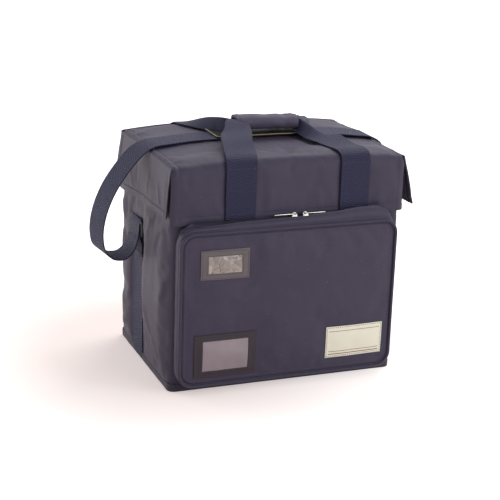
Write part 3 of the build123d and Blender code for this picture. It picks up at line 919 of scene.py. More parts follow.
def wall_place(u, v):
    """The stuffed walls: flat at the front, fuller at the sides and back."""
    (x, y), normal = wall_at(u)
    free = min(smooth(leg_half - 1, leg_half + 15, abs(u - strip)) for strip, _ in sewn_strips)
    free *= min(smooth(8, 26, abs(u - middle)) for middle in corner_middles)
    deep = 1.2 if u < front_run else 6.0
    square = 0.7 if u < left_start else 0.45
    bow = 0.8 + deep * free * sin(pi * clamp((v - 12) / 248)) ** square
    bow += waves(u, v, 70, 1.2) * smooth(12, 40, v) * smooth(264, 235, v)
    bow *= smooth(1, 16, v)
    return x + normal[0] * bow, y + normal[1] * bow, v


def wall_held(u, v):
    ends = max(smooth(20, 13, v), smooth(256, 266, v))
    return min(1.0, max(ends, near_corner(u), near_strip(u, v)))


left_wall_creases = [
    # (start, end, height, width) on the left wall, as (y, z)
    ((108, 255), (84, 205), 2.2, 6), ((90, 258), (74, 222), -1.6, 4),
    ((76, 200), (62, 150), 1.2, 5), ((-6, 190), (2, 120), 1.6, 6),
    ((-60, 60), (-4, 118), 1.6, 7), ((-100, 34), (-52, 70), 1.2, 6),
    ((-20, 30), (2, 90), -1.4, 5), ((-96, 250), (-70, 205), -1.4, 7),
    ((-40, 256), (-26, 214), 1.3, 6), ((72, 60), (100, 30), 1.2, 6),
    ((66, 120), (100, 70), -1.0, 6), ((-118, 180), (-90, 130), 1.2, 7),
]


def wall_relief(u, v):
    seam = max(ridge(u - middle, 1.8) for middle in corner_middles)
    height = 0.9 * seam * smooth(262, 250, v)
    for middle in corner_middles:
        height -= 0.35 * ridge(abs(u - middle) - seam_side, 1.2)
    for strip, top in sewn_strips:
        if v < top:
            height -= 0.8 * ridge(abs(u - strip) - leg_half - 2, 2.5)
    edge = smooth(14, 30, v) * smooth(262, 245, v)
    height += (waves(u, v, 26, 0.7, 3) + waves(u, v, 11, 0.22, 5)) * edge
    if left_start < u < wall_total - corner_run:
        y = left_start + half_depth - corner_radius - u
        for fold in left_wall_creases:
            height += crease(y, v, *fold) * edge
    return height


def make_walls():
    """The padded outer walls, sewn at the corners and pulled in under the webbing."""
    us = lines(0, wall_total, 6.5)
    vs = lines(walls_low.z, walls_high.z, 6.5)
    walls = panel("padded_walls", us, vs, wall_place, closed=True)
    billow(walls, wall_held, 1.6, 0.012, frames=14, reach=2.5)
    fill_out(walls, 1, wall_relief, 1.5)
    dress(walls, "shell_nylon", "root", ["outer_cover"])
    rows = []
    for middle in corner_middles:
        for side in (-seam_side, seam_side):
            rows.append([(middle + side, 14), (middle + side, end_strip_top)])
    sew("wall_stitching", walls, rows, "shell_nylon", "root")


def make_base():
    """The base panel, and the tape that binds its edge to the walls."""
    skin = 1.6
    base = block("base_skin", (2 * half_width, 2 * half_depth, skin), (0, 0, skin / 2))
    bpy.ops.object.mode_set(mode="EDIT")
    bpy.ops.mesh.select_mode(type="EDGE")
    bpy.ops.mesh.select_all(action="DESELECT")
    bpy.ops.object.mode_set(mode="OBJECT")
    for edge in base.data.edges:
        a, b = (base.data.vertices[i].co for i in edge.vertices)
        edge.select = abs(a.z - b.z) > 0.5 * MM
    bpy.ops.object.mode_set(mode="EDIT")
    bpy.ops.mesh.bevel(offset=corner_radius * MM, segments=6)
    bpy.ops.object.mode_set(mode="OBJECT")
    modify(base, "BEVEL", width=0.4 * MM, segments=2, limit_method="ANGLE")
    smooth_shade(base)
    dress(base, "shell_nylon", "root", ["base_panel"])

    total, at = rounded_loop(half_width + skin, half_depth + skin, corner_radius + skin)

    def place(u, v):
        (x, y), normal = at(u)
        out = 0.5 * ridge(v - 6.5, 4.5) + waves(u, v, 30, 0.35)
        return x + normal[0] * out, y + normal[1] * out, v

    heights = [0.7, 1.4, 3, 5, 7, 9, 11, 12.2, 12.9]
    binding = panel("bottom_binding", lines(0, total, 4), heights, place, closed=True)
    thicken(binding, 1.3)
    soften(binding, 0.4)
    smooth_shade(binding, 50)
    dress(binding, "binding_tape", "root", ["base_binding"])
    sew("binding_stitching", binding, [[(0, 10), (total - 0.1, 10)]], "binding_tape", "root")


# ================================================================ inside
def make_liner():
    """The insulating lining: four crowned walls, a floor, and the tape around the rim."""
    half_x, half_y = liner_high.x - 1.2, liner_high.y - 1.2
    total, at = rounded_loop(half_x, half_y, 4)
    floor_z = liner_low.z + 1.2

    def wall(u, v):
        (x, y), normal = at(total - u)
        crown = 1.6 * sin(pi * clamp((v - floor_z) / (liner_high.z - floor_z)))
        inward = crown + waves(u, v, 55, 1.1)
        return x - normal[0] * inward, y - normal[1] * inward, v

    walls = panel(
        "lining_walls", lines(0, total, 8), lines(floor_z, liner_high.z, 8), wall, closed=True,
    )
    seams = (100, 190, 270)
    fill_out(walls, 1, lambda u, v: -1.0 * max(ridge(v - seam, 2.6) for seam in seams), 1.0)

    def floor(u, v):
        crown = 1.5 * (1 - abs(u / half_x) ** 4) * (1 - abs(v / half_y) ** 4)
        return u, v, floor_z - 0.4 + crown + waves(u, v, 60, 0.6)

    ground = panel(
        "lining_floor", lines(-half_x, half_x, 8), lines(-half_y, half_y, 8), floor,
    )
    floor_seam = 82
    fill_out(
        ground, 1, lambda u, v: -0.9 * max(ridge(abs(u) - floor_seam, 2.6), ridge(v, 2.6)), 0.8,
    )
    for piece in (walls, ground):
        dress(piece, "liner_cloth", "root", ["inner_liner"])
    rows = [[(0, seam), (total - 0.1, seam)] for seam in seams]
    sew("lining_stitching", walls, rows, "liner_cloth", "root")

    tape_drop = 9

    def rim(u, v):
        """v is -2 to -1 outside the walls, -1 to 1 across their top and 1 to 2 inside."""
        (x, y), normal = wall_at(u)
        outer = (x + 0.5 * normal[0], y + 0.5 * normal[1])
        inner = (clamp(x, -half_x + 1, half_x - 1), clamp(y, -half_y + 1, half_y - 1))
        drop = max(0.0, abs(v) - 1) * tape_drop
        share = clamp((v + 1) / 2)
        crown = 0.5 * (1 - (2 * share - 1) ** 2) - 0.5
        return (
            mix(outer[0], inner[0], share), mix(outer[1], inner[1], share),
            rim_high.z + crown - drop,
        )

    vs = [-2, -1.6, -1.2, -1, -0.93, -0.7, -0.35, 0, 0.35, 0.7, 0.93, 1, 1.2, 1.6, 2]
    tape = panel("rim_tape", lines(0, wall_total, 4), vs, rim, closed=True)
    thicken(tape, 0.6)
    smooth_shade(tape, 50)
    dress(tape, "binding_tape", "root", ["rim_binding"])
    rows = [[(0, v), (wall_total - 0.1, v)] for v in (-0.7, 0.7)]
    sew("rim_stitching", tape, rows, "binding_tape", "root")


# ================================================================ lid
lid_roll = 4.0
front_roll = 13.0
rear_roll = 3.0
lid_total, lid_profile = filleted(
    [(lid_low.y, skirt_bottom), (lid_low.y, lid_top), (lid_high.y, lid_top),
     (lid_high.y, lid_top - 7)],
    [front_roll, rear_roll],
)
flap_length = lid_top - skirt_bottom - front_roll
lid_edge_v = flap_length + pi / 2 * front_roll
lid_rear_v = lid_total - 4 - pi / 2 * rear_roll
lid_flat = lid_high.x - lid_roll
lid_half_u = lid_flat + pi / 2 * lid_roll
hem_line = 11.5  # from the lower edge of a skirt to its stitching


def hem(v):
    """The turned-up edge of a skirt, and the groove that its stitching pulls in."""
    return 0.5 * smooth(hem_line + 1, hem_line - 1, v) - 0.5 * ridge(v - hem_line, 1.2)


def edge_roll(u):
    """Where u lies along X on a sheet whose side edges roll over, and how far it sinks."""
    past = abs(u) - lid_flat
    if past <= 0:
        return u, 0.0
    angle = past / lid_roll
    side = 1 if u > 0 else -1
    return side * (lid_flat + lid_roll * sin(angle)), lid_roll * (1 - cos(angle))


def lid_crown(x, y):
    """How far the stuffed lid stands above its plain height; its corners sag below it."""
    crown = 3.5 - 8.5 * abs(x / half_width) ** 2.6
    return crown * (1 - 0.6 * ridge(y - 20, 45))


def lid_height(x, y):
    return lid_top + lid_crown(x, y)


def lid_place(u, v):
    """u runs to the right, and v up the front skirt and back over the lid."""
    point, normal = lid_profile(v)
    x, sink = edge_roll(u)
    hang = smooth(flap_length, 0, v)
    out = 1.2 * hang + waves(u, v, 80, 0.8, 1) * smooth(0, 30, v)
    out *= smooth(lid_half_u, lid_half_u - 20, abs(u))
    rise = lid_crown(x, point.x) * smooth(0, lid_edge_v, v)
    return x, point.x + normal.x * (out - sink), point.y + normal.y * (out - sink) + rise


def lid_held(u, v):
    sides = smooth(lid_flat - 8, lid_flat - 2, abs(u))
    fold = ridge(v - lid_edge_v + 6, 7)
    ends = max(smooth(9, 3, v), smooth(lid_rear_v - 8, lid_rear_v, v))
    legs = max(smooth(leg_half + 3, leg_half - 3, abs(u - x)) * (v < flap_length) for x in leg_xs)
    strap = smooth(34, 24, abs(v - lid_edge_v - 128 - strap_low.y + 20)) * (v > lid_edge_v)
    return min(1.0, max(sides, fold, ends, 0.75 * legs, 0.6 * strap))


front_flap_creases = [
    ((-130, 12), (-118, 44), 0.9, 5), ((-40, 10), (-30, 50), 0.8, 6),
    ((20, 8), (28, 40), -0.7, 5), ((52, 8), (40, 46), 0.8, 6),
    ((140, 10), (150, 46), 0.8, 7), ((-158, 70), (-110, 78), -0.8, 5),
]


def lid_relief(u, v):
    side_hem = 0.5 * smooth(lid_flat - 10, lid_flat - 7, abs(u)) * (v < flap_length)
    side_line = 0.5 * ridge(abs(u) - lid_flat + 8, 1.2)
    twin = 0.7 * ridge(abs(u) - lid_flat + 3, 1.6)
    height = hem(v) + side_hem - side_line + twin * (v > flap_length)
    height += waves(u, v, 30, 0.45, 7) + waves(u, v, 12, 0.15, 9)
    for fold in front_flap_creases:
        height += crease(u, v, *fold)
    return height


def make_lid():
    """The lid's cover and front flap in one sheet, the pad under it and its lining."""
    cover = panel(
        "lid_cover_cloth", lines(-lid_half_u, lid_half_u, 6.2), lines(0, lid_total, 6.2),
        lid_place,
    )
    billow(cover, lid_held, 0.9, 0.008, frames=14, reach=3.2)
    fill_out(cover, 2, lid_relief, 2.0)
    dress(cover, "shell_nylon", "lid", ["lid_cover", "front_flap"])
    inner_row, outer_row = lid_flat - 8, lid_half_u - 6 + 3.5
    rows = [[(-lid_half_u + 8, hem_line), (lid_half_u - 8, hem_line)]]
    for row, start in ((inner_row, 12), (outer_row, flap_length + 12)):
        rows += [[(side * row, start), (side * row, lid_rear_v)] for side in (-1, 1)]
    sew("lid_stitching", cover, rows, "shell_nylon", "lid")

    low, high = span("lid_foam")
    pad = block(
        "lid_padding", (high.x - low.x - 5, high.y - low.y - 9, high.z - low.z - 1.5),
        ((high.x + low.x) / 2, (high.y + low.y + 3) / 2, (high.z + low.z - 1.5) / 2),
    )
    bpy.ops.object.mode_set(mode="EDIT")
    bpy.ops.mesh.select_all(action="SELECT")
    bpy.ops.mesh.subdivide(number_cuts=19)
    bpy.ops.object.mode_set(mode="OBJECT")
    for vertex in pad.data.vertices:
        x, y = vertex.co.x / MM, vertex.co.y / MM
        if vertex.co.z / MM > (low.z + high.z) / 2:
            vertex.co.z += (min(lid_crown(x, y), 1.0) - 2.2) * MM
    modify(pad, "BEVEL", width=5 * MM, segments=4, limit_method="ANGLE")
    smooth_shade(pad)
    dress(pad, "insulation_foam", "lid", ["lid_foam"])

    low, high = span("lid_liner")

    def place(u, v):
        sag = 0.9 * (1 - abs(u / high.x) ** 6) * (1 - abs(v / ((high.y - low.y) / 2)) ** 6)
        return u, -v + (high.y + low.y) / 2, low.z + 1.1 - sag

    half_v = (high.y - low.y) / 2 - 1
    lining = panel(
        "lid_lining", lines(-high.x + 1, high.x - 1, 7), lines(-half_v, half_v, 7), place,
    )
    seam_u, seam_v = 62, 44

    def quilt(u, v):
        seam = max(ridge(abs(u) - seam_u, 2.4), ridge(abs(v) - seam_v, 2.4))
        border = ridge(abs(u) - high.x + 12, 2.0) + ridge(abs(v) - half_v + 10, 2.0)
        return 0.35 + waves(u, v, 30, 0.25, 4) - 0.5 * seam - 0.4 * border

    fill_out(lining, 1, quilt, 0.9)
    dress(lining, "liner_cloth", "lid", ["lid_liner"])
    rows = [[(u, -half_v + 10), (u, half_v - 10)] for u in (-seam_u, seam_u)]
    rows += [[(-high.x + 12, v), (high.x - 12, v)] for v in (-seam_v, seam_v)]
    sew("lid_lining_stitching", lining, rows, "liner_cloth", "lid")


# ================================================================ skirt flaps
def make_flap(name, body, nodes, half, length, place, folds=()):
    """One skirt flap: u runs along its fold from the middle and v up from its hem."""
    def relief(u, v):
        """Hems along the lower and side edges, and the flap's own folds."""
        sides = 0.5 * smooth(half - 12, half - 9, abs(u)) - 0.5 * ridge(abs(u) - half + 11, 1.2)
        height = hem(v) + sides + waves(u, v, 30, 0.5, 11) + waves(u, v, 12, 0.15, 13)
        return height + sum(crease(u, v, *fold) for fold in folds)

    flap = panel(name, lines(-half, half, 6), lines(0, length, 6), place)
    fill_out(flap, 2, relief, 2.0)
    dress(flap, "shell_nylon", body, nodes)
    rows = [[(-half + 3, hem_line), (half - 3, hem_line)]]
    rows += [[(u, 12), (u, length - 3)] for u in (-half + 11, half - 11)]
    sew(f"{name}_stitching", flap, rows, "shell_nylon", body)


def make_flaps():
    """The flaps at the left, the right and the back, hung from the lid's edge."""
    half = (left_flap_high.y - left_flap_low.y) / 2
    middle = (left_flap_high.y + left_flap_low.y) / 2
    top = left_flap_high.z + 1.0
    length = top - skirt_bottom
    outer = -left_flap_low.x

    def left(u, v):
        """The left flap swells, and its rear corner is pulled back and stands away."""
        hang = (length - v) / length
        y = middle - u
        bow = 1.6 * sin(pi * hang) + 2.2 * hang * smooth(-0.2, 0.8, u / half)
        pull = 1.5 * smooth(0.1, 0.7, hang) * smooth(0.86, 1.0, u / half)
        top_rise = lid_crown(-half_width, y) - 1.5
        lift = top_rise * (1 - hang) + hang * (-4 + 10 * smooth(-1, 1, u / half))
        back = 17 * max(hang, 0) ** 1.2 * smooth(0.6, 1.0, u / half)
        flared = max(hang, 0) ** 1.1 * (1 - 0.5 * smooth(0.7, 1, hang))
        bow += 10.5 * flared * smooth(0.1, -1, u / half)
        ripple = 1.2 * hang * sin(u / 19) + waves(u, v, 45, 0.9, 2) * smooth(0, 0.3, hang)
        return -outer - bow - ripple * 0.6 + pull, y + back, skirt_bottom + v + lift

    make_flap(
        "left_skirt_flap", "left_flap", ["left_flap"], half, length, left,
        folds=[((-70, 60), (-50, 10), 1.2, 6), ((-30, 70), (-38, 20), -1.0, 6),
               ((30, 66), (12, 14), 1.0, 6), ((70, 60), (86, 12), 1.0, 5)],
    )

    flare = radians(12.0)

    def right(u, v):
        """The right flap stands out from the wall."""
        out = (length - v) * sin(flare) + 1.2 * sin(pi * v / length)
        drop = (length - v) * cos(flare)
        hang = (length - v) / length
        ripple = 0.8 * hang * sin(u / 21) + waves(u, v, 45, 0.8, 6) * 0.6
        rise = (lid_crown(half_width, middle + u) - 1.5) * (1 - hang)
        rise += 5 * hang * smooth(0.1, -1, u / half)
        return outer + out + ripple, middle + u, top - drop + rise

    make_flap("right_skirt_flap", "right_flap", ["right_flap"], half, length, right)

    outer_y = rear_flap_high.y
    rear_half = rear_flap_high.x
    rear_length = rear_flap_high.z - skirt_bottom - 0.6

    def rear(u, v):
        hang = (rear_length - v) / rear_length
        swell = (1.0 * sin(pi * hang) + waves(u, v, 60, 0.7, 8)) * smooth(0, 0.2, hang)
        x, sink = edge_roll(u * (lid_half_u / rear_half))
        rise = lid_crown(x, outer_y) * (1 - hang)
        return -x, outer_y + swell * 0.7 - sink, skirt_bottom + v + rise

    make_flap("rear_skirt_flap", "root", ["rear_flap"], rear_half, rear_length, rear)


# ================================================================ front pocket
pocket_x = (panel_low.x + panel_high.x) / 2
pocket_z = (panel_low.z + panel_high.z) / 2
pocket_half_x = (panel_high.x - panel_low.x) / 2
pocket_half_z = (panel_high.z - panel_low.z) / 2
pocket_radius = 24.0


def pocket_share(z):
    """How much of its width the pocket's panel still has at this height."""
    past = abs(z) - (pocket_half_z - pocket_radius)
    if past <= 0:
        return 1.0
    inset = pocket_radius - sqrt(max(pocket_radius**2 - past**2, 0))
    return (pocket_half_x - inset) / pocket_half_x


def pocket_edge(x, z):
    """How far a point of the panel is from its rounded border."""
    side = abs(x) - (pocket_half_x - pocket_radius)
    end = abs(z) - (pocket_half_z - pocket_radius)
    return pocket_radius - hypot(max(side, 0), max(end, 0)) - min(max(side, end), 0)


def pocket_map(x, z):
    """A point of the panel on its own map, both from the pocket's middle."""
    return x / pocket_share(z), z


def pocket_place(u, v):
    crown = 3.6 * (1 - abs(u / pocket_half_x) ** 5) * (1 - abs(v / pocket_half_z) ** 5)
    swell = waves(u, v, 85, 1.6, 14) * smooth(0, 25, pocket_edge(u * pocket_share(v), v))
    return pocket_x + u * pocket_share(v), panel_high.y - 0.8 - crown - swell, pocket_z + v


def sewn_patches():
    """The windows and the label on the panel's own map: low and high corners."""
    made = []
    for name in ("upper_window_frame", "lower_window_frame", "label_patch"):
        low, high = span(name)
        made.append((low.x - pocket_x, low.z - pocket_z, high.x - pocket_x, high.z - pocket_z))
    return made


patches = sewn_patches()


def patch_edge(u, v):
    """How near a point is to the seam round a window or the label: 1 on it."""
    nearest = 0.0
    for low_u, low_v, high_u, high_v in patches:
        off = max(low_u - u, u - high_u, low_v - v, v - high_v)
        nearest = max(nearest, smooth(9, 2, abs(off + 2)))
    return nearest


def pocket_held(u, v):
    edge = smooth(9, 5, pocket_edge(u * pocket_share(v), v))
    return min(1.0, max(edge, 0.85 * patch_edge(u, v)))


pocket_creases = [
    ((20, 112), (46, 60), 1.0, 8), ((66, 108), (40, 66), -0.9, 7),
    ((-8, 108), (-22, 58), 0.8, 7), ((118, 104), (104, 52), 0.9, 9),
    ((-30, 40), (34, 8), -0.8, 10), ((60, 30), (90, -20), 0.9, 10),
    ((-20, -40), (30, -70), 0.7, 9), ((150, 60), (166, 10), 0.8, 7),
    ((-160, 60), (-166, 0), 0.7, 6), ((-10, -104), (-30, -60), 0.7, 7),
    ((20, -108), (36, -70), -0.7, 7),
]


def pocket_relief(u, v):
    x = u * pocket_share(v)
    edge = pocket_edge(x, v)
    height = -1.2 * ridge(edge - 5.2, 1.3) + 0.5 * ridge(edge - 8.5, 2.2)
    height -= 0.35 * ridge(edge - 11.5, 1.2)
    inside = smooth(8, 24, edge)
    height += (waves(u, v, 30, 0.5, 15) + waves(u, v, 13, 0.16, 16)) * inside
    for fold in pocket_creases:
        height += crease(x, v, *fold) * inside
    return height


def border_points(inset, y, step=3.0, wander=0.35):
    """Points on the pocket's rounded border, this far inside it."""
    total, at = rounded_loop(
        pocket_half_x - inset, pocket_half_z - inset, pocket_radius - inset,
    )
    points = []
    for length in lines(0, total, step)[:-1]:
        (x, z), normal = at(length)
        off = waves(x, z, 40, wander, 20)
        points.append((pocket_x + x + normal[0] * off, y + off, pocket_z + z + normal[1] * off))
    return points


# (x, rise) along the zip's lip
lip_line = [(-200, -12), (-158, -4.3), (-132, -3.1), (-70, -0.5), (-6, 0.8), (59, 4.6), (112, 9.2),
            (138, 9.4), (152, 4.3), (172, -12.8)]


def make_pocket():
    """The pocket's face, the piping on its border and the band round its sides."""
    vs = lines(-pocket_half_z + 10, pocket_half_z - 10, 6)
    ends = [0, 0.5, 1.6, 3.4, 6.0]
    vs = [-pocket_half_z + e for e in ends] + vs + [pocket_half_z - e for e in reversed(ends)]
    face = panel("pocket_face", lines(-pocket_half_x, pocket_half_x, 6), vs, pocket_place)
    billow(face, pocket_held, 0.8, 0.007, frames=14, reach=4.5)
    fill_out(face, 2, pocket_relief, 1.6)
    dress(face, "shell_nylon", "pocket_panel", ["pocket_front_panel"])
    inset = 8
    total, at = rounded_loop(
        pocket_half_x - inset, pocket_half_z - inset, pocket_radius - inset,
    )
    ring = [pocket_map(*at(length)[0]) for length in lines(0, total, 5)]
    sew("pocket_stitching", face, [ring], "shell_nylon", "pocket_panel")

    piping = welt("pocket_welt", border_points(1.9, panel_low.y + 0.2), 2.3, cyclic=True, sides=10)
    dress(piping, "shell_nylon", "pocket_panel", ["pocket_piping"])

    inset = 0.6
    total, at = rounded_loop(
        pocket_half_x - inset, pocket_half_z - inset, pocket_radius - inset,
    )
    back = -half_depth - 1.2
    lip_y, lip_z = slope_high.y - 0.6, slope_high.z - 1.0

    def lip_rise(x):
        """How far the zip's lip stands above its plain height, from left to right."""
        for (a, low), (b, high) in zip(lip_line, lip_line[1:]):
            if x <= b:
                return mix(low, high, smooth(a, b, x))
        return lip_line[-1][1]

    def band(u, v):
        """v runs from the wall, 0, to the pocket's face, 1."""
        (x, z), normal = at(u)
        rise = smooth(0.0, 1.0, normal[1])
        crown = (1.4 + waves(u, 0, 60, 1.0, 22)) * sin(pi * v)
        side = (x, mix(back, panel_high.y, v), z)
        up = lip_z - (pocket_z + z) + lip_rise(pocket_x + x)
        top = (x, mix(lip_y, panel_high.y, v), z + up * (1 - v))
        point = [mix(a, b, rise) for a, b in zip(side, top)]
        return (
            pocket_x + point[0] + normal[0] * crown * (1 - rise),
            point[1] - crown * rise,
            pocket_z + point[2] + normal[1] * crown * 0.5,
        )

    sides = panel(
        "pocket_band", lines(0, total, 5), [i / 6 for i in range(7)], band, closed=True,
    )
    band_width = 22

    def band_relief(u, v):
        seam = ridge((v - 0.16) * band_width, 1.4) + ridge((v - 0.84) * band_width, 1.4)
        return -0.6 * seam + waves(u, v * band_width, 14, 0.5, 23)

    fill_out(sides, 1, band_relief, 1.2)
    dress(
        sides, "shell_nylon", ("root", "pocket_panel"), ["pocket_gusset", "zip_tape_front"],
        rise=((0, back, 140), (0, slope_high.y - 1, 140)),
    )

    shelf_z = ridge_low.z
    total, profile = filleted(
        [(-half_depth - 0.6, shelf_z + 9), (-half_depth - 1.4, shelf_z + 1.5),
         (ridge_high.y - 0.4, shelf_z + 1.0), (ridge_high.y - 0.6, ridge_high.z)],
        [1.0, 2.0],
    )
    half = (panel_high.x - panel_low.x) / 2 - 4

    def shelf(u, v):
        point, _ = profile(v)
        bow = waves(u, v, 40, 0.5, 24)
        drop = 10 * smooth(half - 22, half, abs(u)) ** 2 * smooth(0, total, v)
        return pocket_x - u, point.x, point.y + bow - drop

    strip = panel("zip_shelf", lines(-half, half, 8), lines(0, total, 3), shelf)
    thicken(strip, 0.9)
    smooth_shade(strip, 50)
    dress(strip, "shell_nylon", "root", ["zip_tape_rear"])

    pitch, radius, corners = 1.5, 0.85, 7  # of the coil, and points on each turn
    for node_name, body in (("zip_coil_rear", "root"), ("zip_coil_front", "pocket_panel")):
        low, high = span(node_name)
        centre_y, centre_z = (low.y + high.y) / 2, (low.z + high.z) / 2 + 0.3
        count = round((high.x - low.x) / pitch) * corners
        points = []
        for index in range(count + 1):
            angle = 2 * pi * index / corners
            points.append((
                mix(low.x, high.x, index / count),
                centre_y + radius * cos(angle), centre_z + radius * sin(angle),
            ))
        coil = welt(f"{node_name}_loops", points, 0.34, sides=4)
        dress(coil, "zip_coil", body, [node_name])


def pocket_piece(piece, base, lift):
    """Lay a flat piece on the pocket's face."""
    modify(
        piece, "SHRINKWRAP", target=base, wrap_method="PROJECT", use_project_x=False,
        use_project_y=True, use_project_z=False, use_negative_direction=True,
        use_positive_direction=True, offset=lift * MM,
    )


def make_window(name, frame_slot, film_look, crinkle):
    """A clear window: film on the pocket's face, held by a band with mitred corners. The
    film's folds are as high as crinkle says."""
    face = bpy.data.objects["pocket_face"]
    frame_node, film_node = f"{name}_frame", f"{name}_film"
    low, high = span(frame_node)
    film_low, film_high = span(film_node)
    sides = []
    outer = [(low.x, low.z), (high.x, low.z), (high.x, high.z), (low.x, high.z)]
    inner = [(film_low.x, film_low.z), (film_high.x, film_low.z),
             (film_high.x, film_high.z), (film_low.x, film_high.z)]
    run = 0.0
    for index in range(4):
        a, b = outer[index], outer[(index + 1) % 4]
        sides.append((run, hypot(b[0] - a[0], b[1] - a[1])))
        run += sides[-1][1]
    band = film_low.z - low.z

    def place(u, v):
        u %= run
        for index, (start, length) in enumerate(sides):
            if u <= start + length + 1e-6:
                break
        share = (u - start) / length
        a, b = outer[index], outer[(index + 1) % 4]
        c, d = inner[index], inner[(index + 1) % 4]
        wander = waves(u, 0, 30, 0.5, 30)
        out = (mix(a[0], b[0], share) + wander, mix(a[1], b[1], share) + wander)
        into = (mix(c[0], d[0], share) + wander * 0.5, mix(c[1], d[1], share) + wander * 0.5)
        ratio = v / band
        return mix(out[0], into[0], ratio), low.y - 6, mix(out[1], into[1], ratio)

    us = sorted({*(start + i / 14 * length for start, length in sides for i in range(14)), run})
    vs = [0, 0.5, 2, band / 2 - 0.4, band / 2 + 0.4, band - 2, band - 0.5, band]
    piece = panel(f"{name}_surround", us, vs, place, closed=True)
    pocket_piece(piece, face, 0.25)
    thicken(piece, 1.1, offset=1.0)
    soften(piece, 0.3)
    smooth_shade(piece, 40)
    dress(piece, frame_slot, "pocket_panel", [frame_node])
    rows = []
    for inset in (1.8, band - 1.8):
        rows.append([(length, inset) for length in lines(0, run - 0.01, 3)])
    sew(f"{name}_stitching", piece, rows, frame_slot, "pocket_panel", lift=0.1)

    half_x, half_z = (film_high.x - film_low.x) / 2 + 3, (film_high.z - film_low.z) / 2 + 3
    middle = (film_low + film_high) / 2
    film = panel(
        f"{name}_pane", lines(-half_x, half_x, 1.6), lines(-half_z, half_z, 1.6),
        lambda u, v: (middle.x + u, low.y - 6, middle.z + v),
    )
    pocket_piece(film, face, 0.35)

    def wrinkled(u, v):
        inside = smooth(half_x, half_x - 9, abs(u)) * smooth(half_z, half_z - 7, abs(v))
        folds = abs(waves(u, v, 9, 1.6, 31)) + abs(waves(u, v, 4.5, 0.7, 32))
        bow = 0.8 * (1 - (u / half_x) ** 2) * (1 - (v / half_z) ** 2)
        return crinkle * folds * inside + bow * 0.8

    emboss(film, wrinkled)
    thicken(film, 0.3, offset=1.0)
    smooth_shade(film, 60)
    dress(film, "clear_film", "pocket_panel", [film_node], finish=finishes[film_look])


def make_label():
    """A cream patch sewn to the pocket, with plain ruled lines and no lettering."""
    face = bpy.data.objects["pocket_face"]
    low, high = span("label_patch")
    middle = (low + high) / 2
    half_x, half_z = (high.x - low.x) / 2, (high.z - low.z) / 2

    def flat(u, v):
        return middle.x + u, low.y - 6, middle.z + v

    patch = panel("label_face", lines(-half_x, half_x, 4), lines(-half_z, half_z, 4), flat)
    pocket_piece(patch, face, 0.3)
    thicken(patch, 0.8, offset=1.0)
    soften(patch, 0.3)
    smooth_shade(patch, 40)
    dress(patch, "label_vinyl", "pocket_panel", ["label_patch"])
    x, z = half_x - 2, half_z - 2
    ring = [(-x, -z), (x, -z), (x, z), (-x, z), (-x, -z)]
    sew("label_stitching", patch, [ring], "label_vinyl", "pocket_panel", lift=0.1)
    bars = []
    end = half_x - 5
    for v, tall in ((half_z - 8, 0.7), (-half_z + 10, 0.7), (-half_z + 5.5, 1.2)):
        bar = panel(
            "label_rule", lines(-end, end, 4), [v - tall / 2, v + tall / 2],
            lambda u, v: (middle.x + u, low.y - 8, middle.z + v),
        )
        pocket_piece(bar, patch, 0.05)
        thicken(bar, 0.12, offset=1.0)
        bars.append(bar)
    rules = join("label_rules", bars)
    smooth_shade(rules, 40)
    dress(rules, "label_vinyl", "pocket_panel", finish=finishes["label_rules"])


def make_sliders():
    """Two zip sliders that meet in the middle, each with its bridge and its pull."""
    for side, body_name, pull_name in (
        (-1, "slider_left", "pull_left"), (1, "slider_right", "pull_right"),
    ):
        low, high = span(body_name)
        pull_low, pull_high = span(pull_name)
        middle = (low + high) / 2
        parts = []
        for height, size in ((low.z + 0.7, (9, 6, 1.4)), (low.z + 2.2, (9, 5.4, 1.2))):
            plate = block("slider_plate", size, (middle.x, middle.y, height))
            modify(plate, "BEVEL", width=0.6 * MM, segments=3, limit_method="NONE")
            parts.append(plate)
        arch = []
        for index in range(13):
            angle = pi * index / 12
            arch.append((middle.x - 3.4 * cos(angle), middle.y, low.z + 2.4 + 3.1 * sin(angle)))
        parts.append(welt("slider_bridge", arch, 0.62, sides=8))
        slider = join(f"{body_name}_shape", parts)
        smooth_shade(slider, 40)
        dress(slider, "zip_metal", body_name, [body_name])

        eye_x = pull_high.x - 3.2 if side < 0 else pull_low.x + 3.2
        tip_x = pull_low.x if side < 0 else pull_high.x
        centre = Vector((eye_x, (pull_low.y + pull_high.y) / 2, (pull_low.z + pull_high.z) / 2))
        deselect()
        bpy.ops.mesh.primitive_torus_add(
            major_radius=2.35 * MM, minor_radius=0.72 * MM, major_segments=28, minor_segments=10,
            location=centre * MM,
        )
        eye = named("pull_eye")
        start = eye_x + side * 2.4
        tab = block(
            "pull_tab", (abs(tip_x - start), 3.0, 1.1),
            ((tip_x + start) / 2, centre.y, centre.z),
        )
        for vertex in tab.data.vertices:
            if abs(vertex.co.x / MM - tip_x) < 0.1:
                vertex.co.y = mix(centre.y * MM, vertex.co.y, 1.25)
        modify(tab, "BEVEL", width=0.5 * MM, segments=3, limit_method="NONE")
        pull = join(f"{pull_name}_shape", [eye, tab])
        smooth_shade(pull, 40)
        dress(pull, "zip_metal", pull_name, [pull_name])


# ================================================================ webbing on the sides
across_y = (0, 1, 0)
strap_width = 50


def mirrored(stops):
    """The same route on the other side, which still faces outwards."""
    return [((-x, y, z), (-a, -b, -c)) for (x, y, z), (a, b, c) in stops]


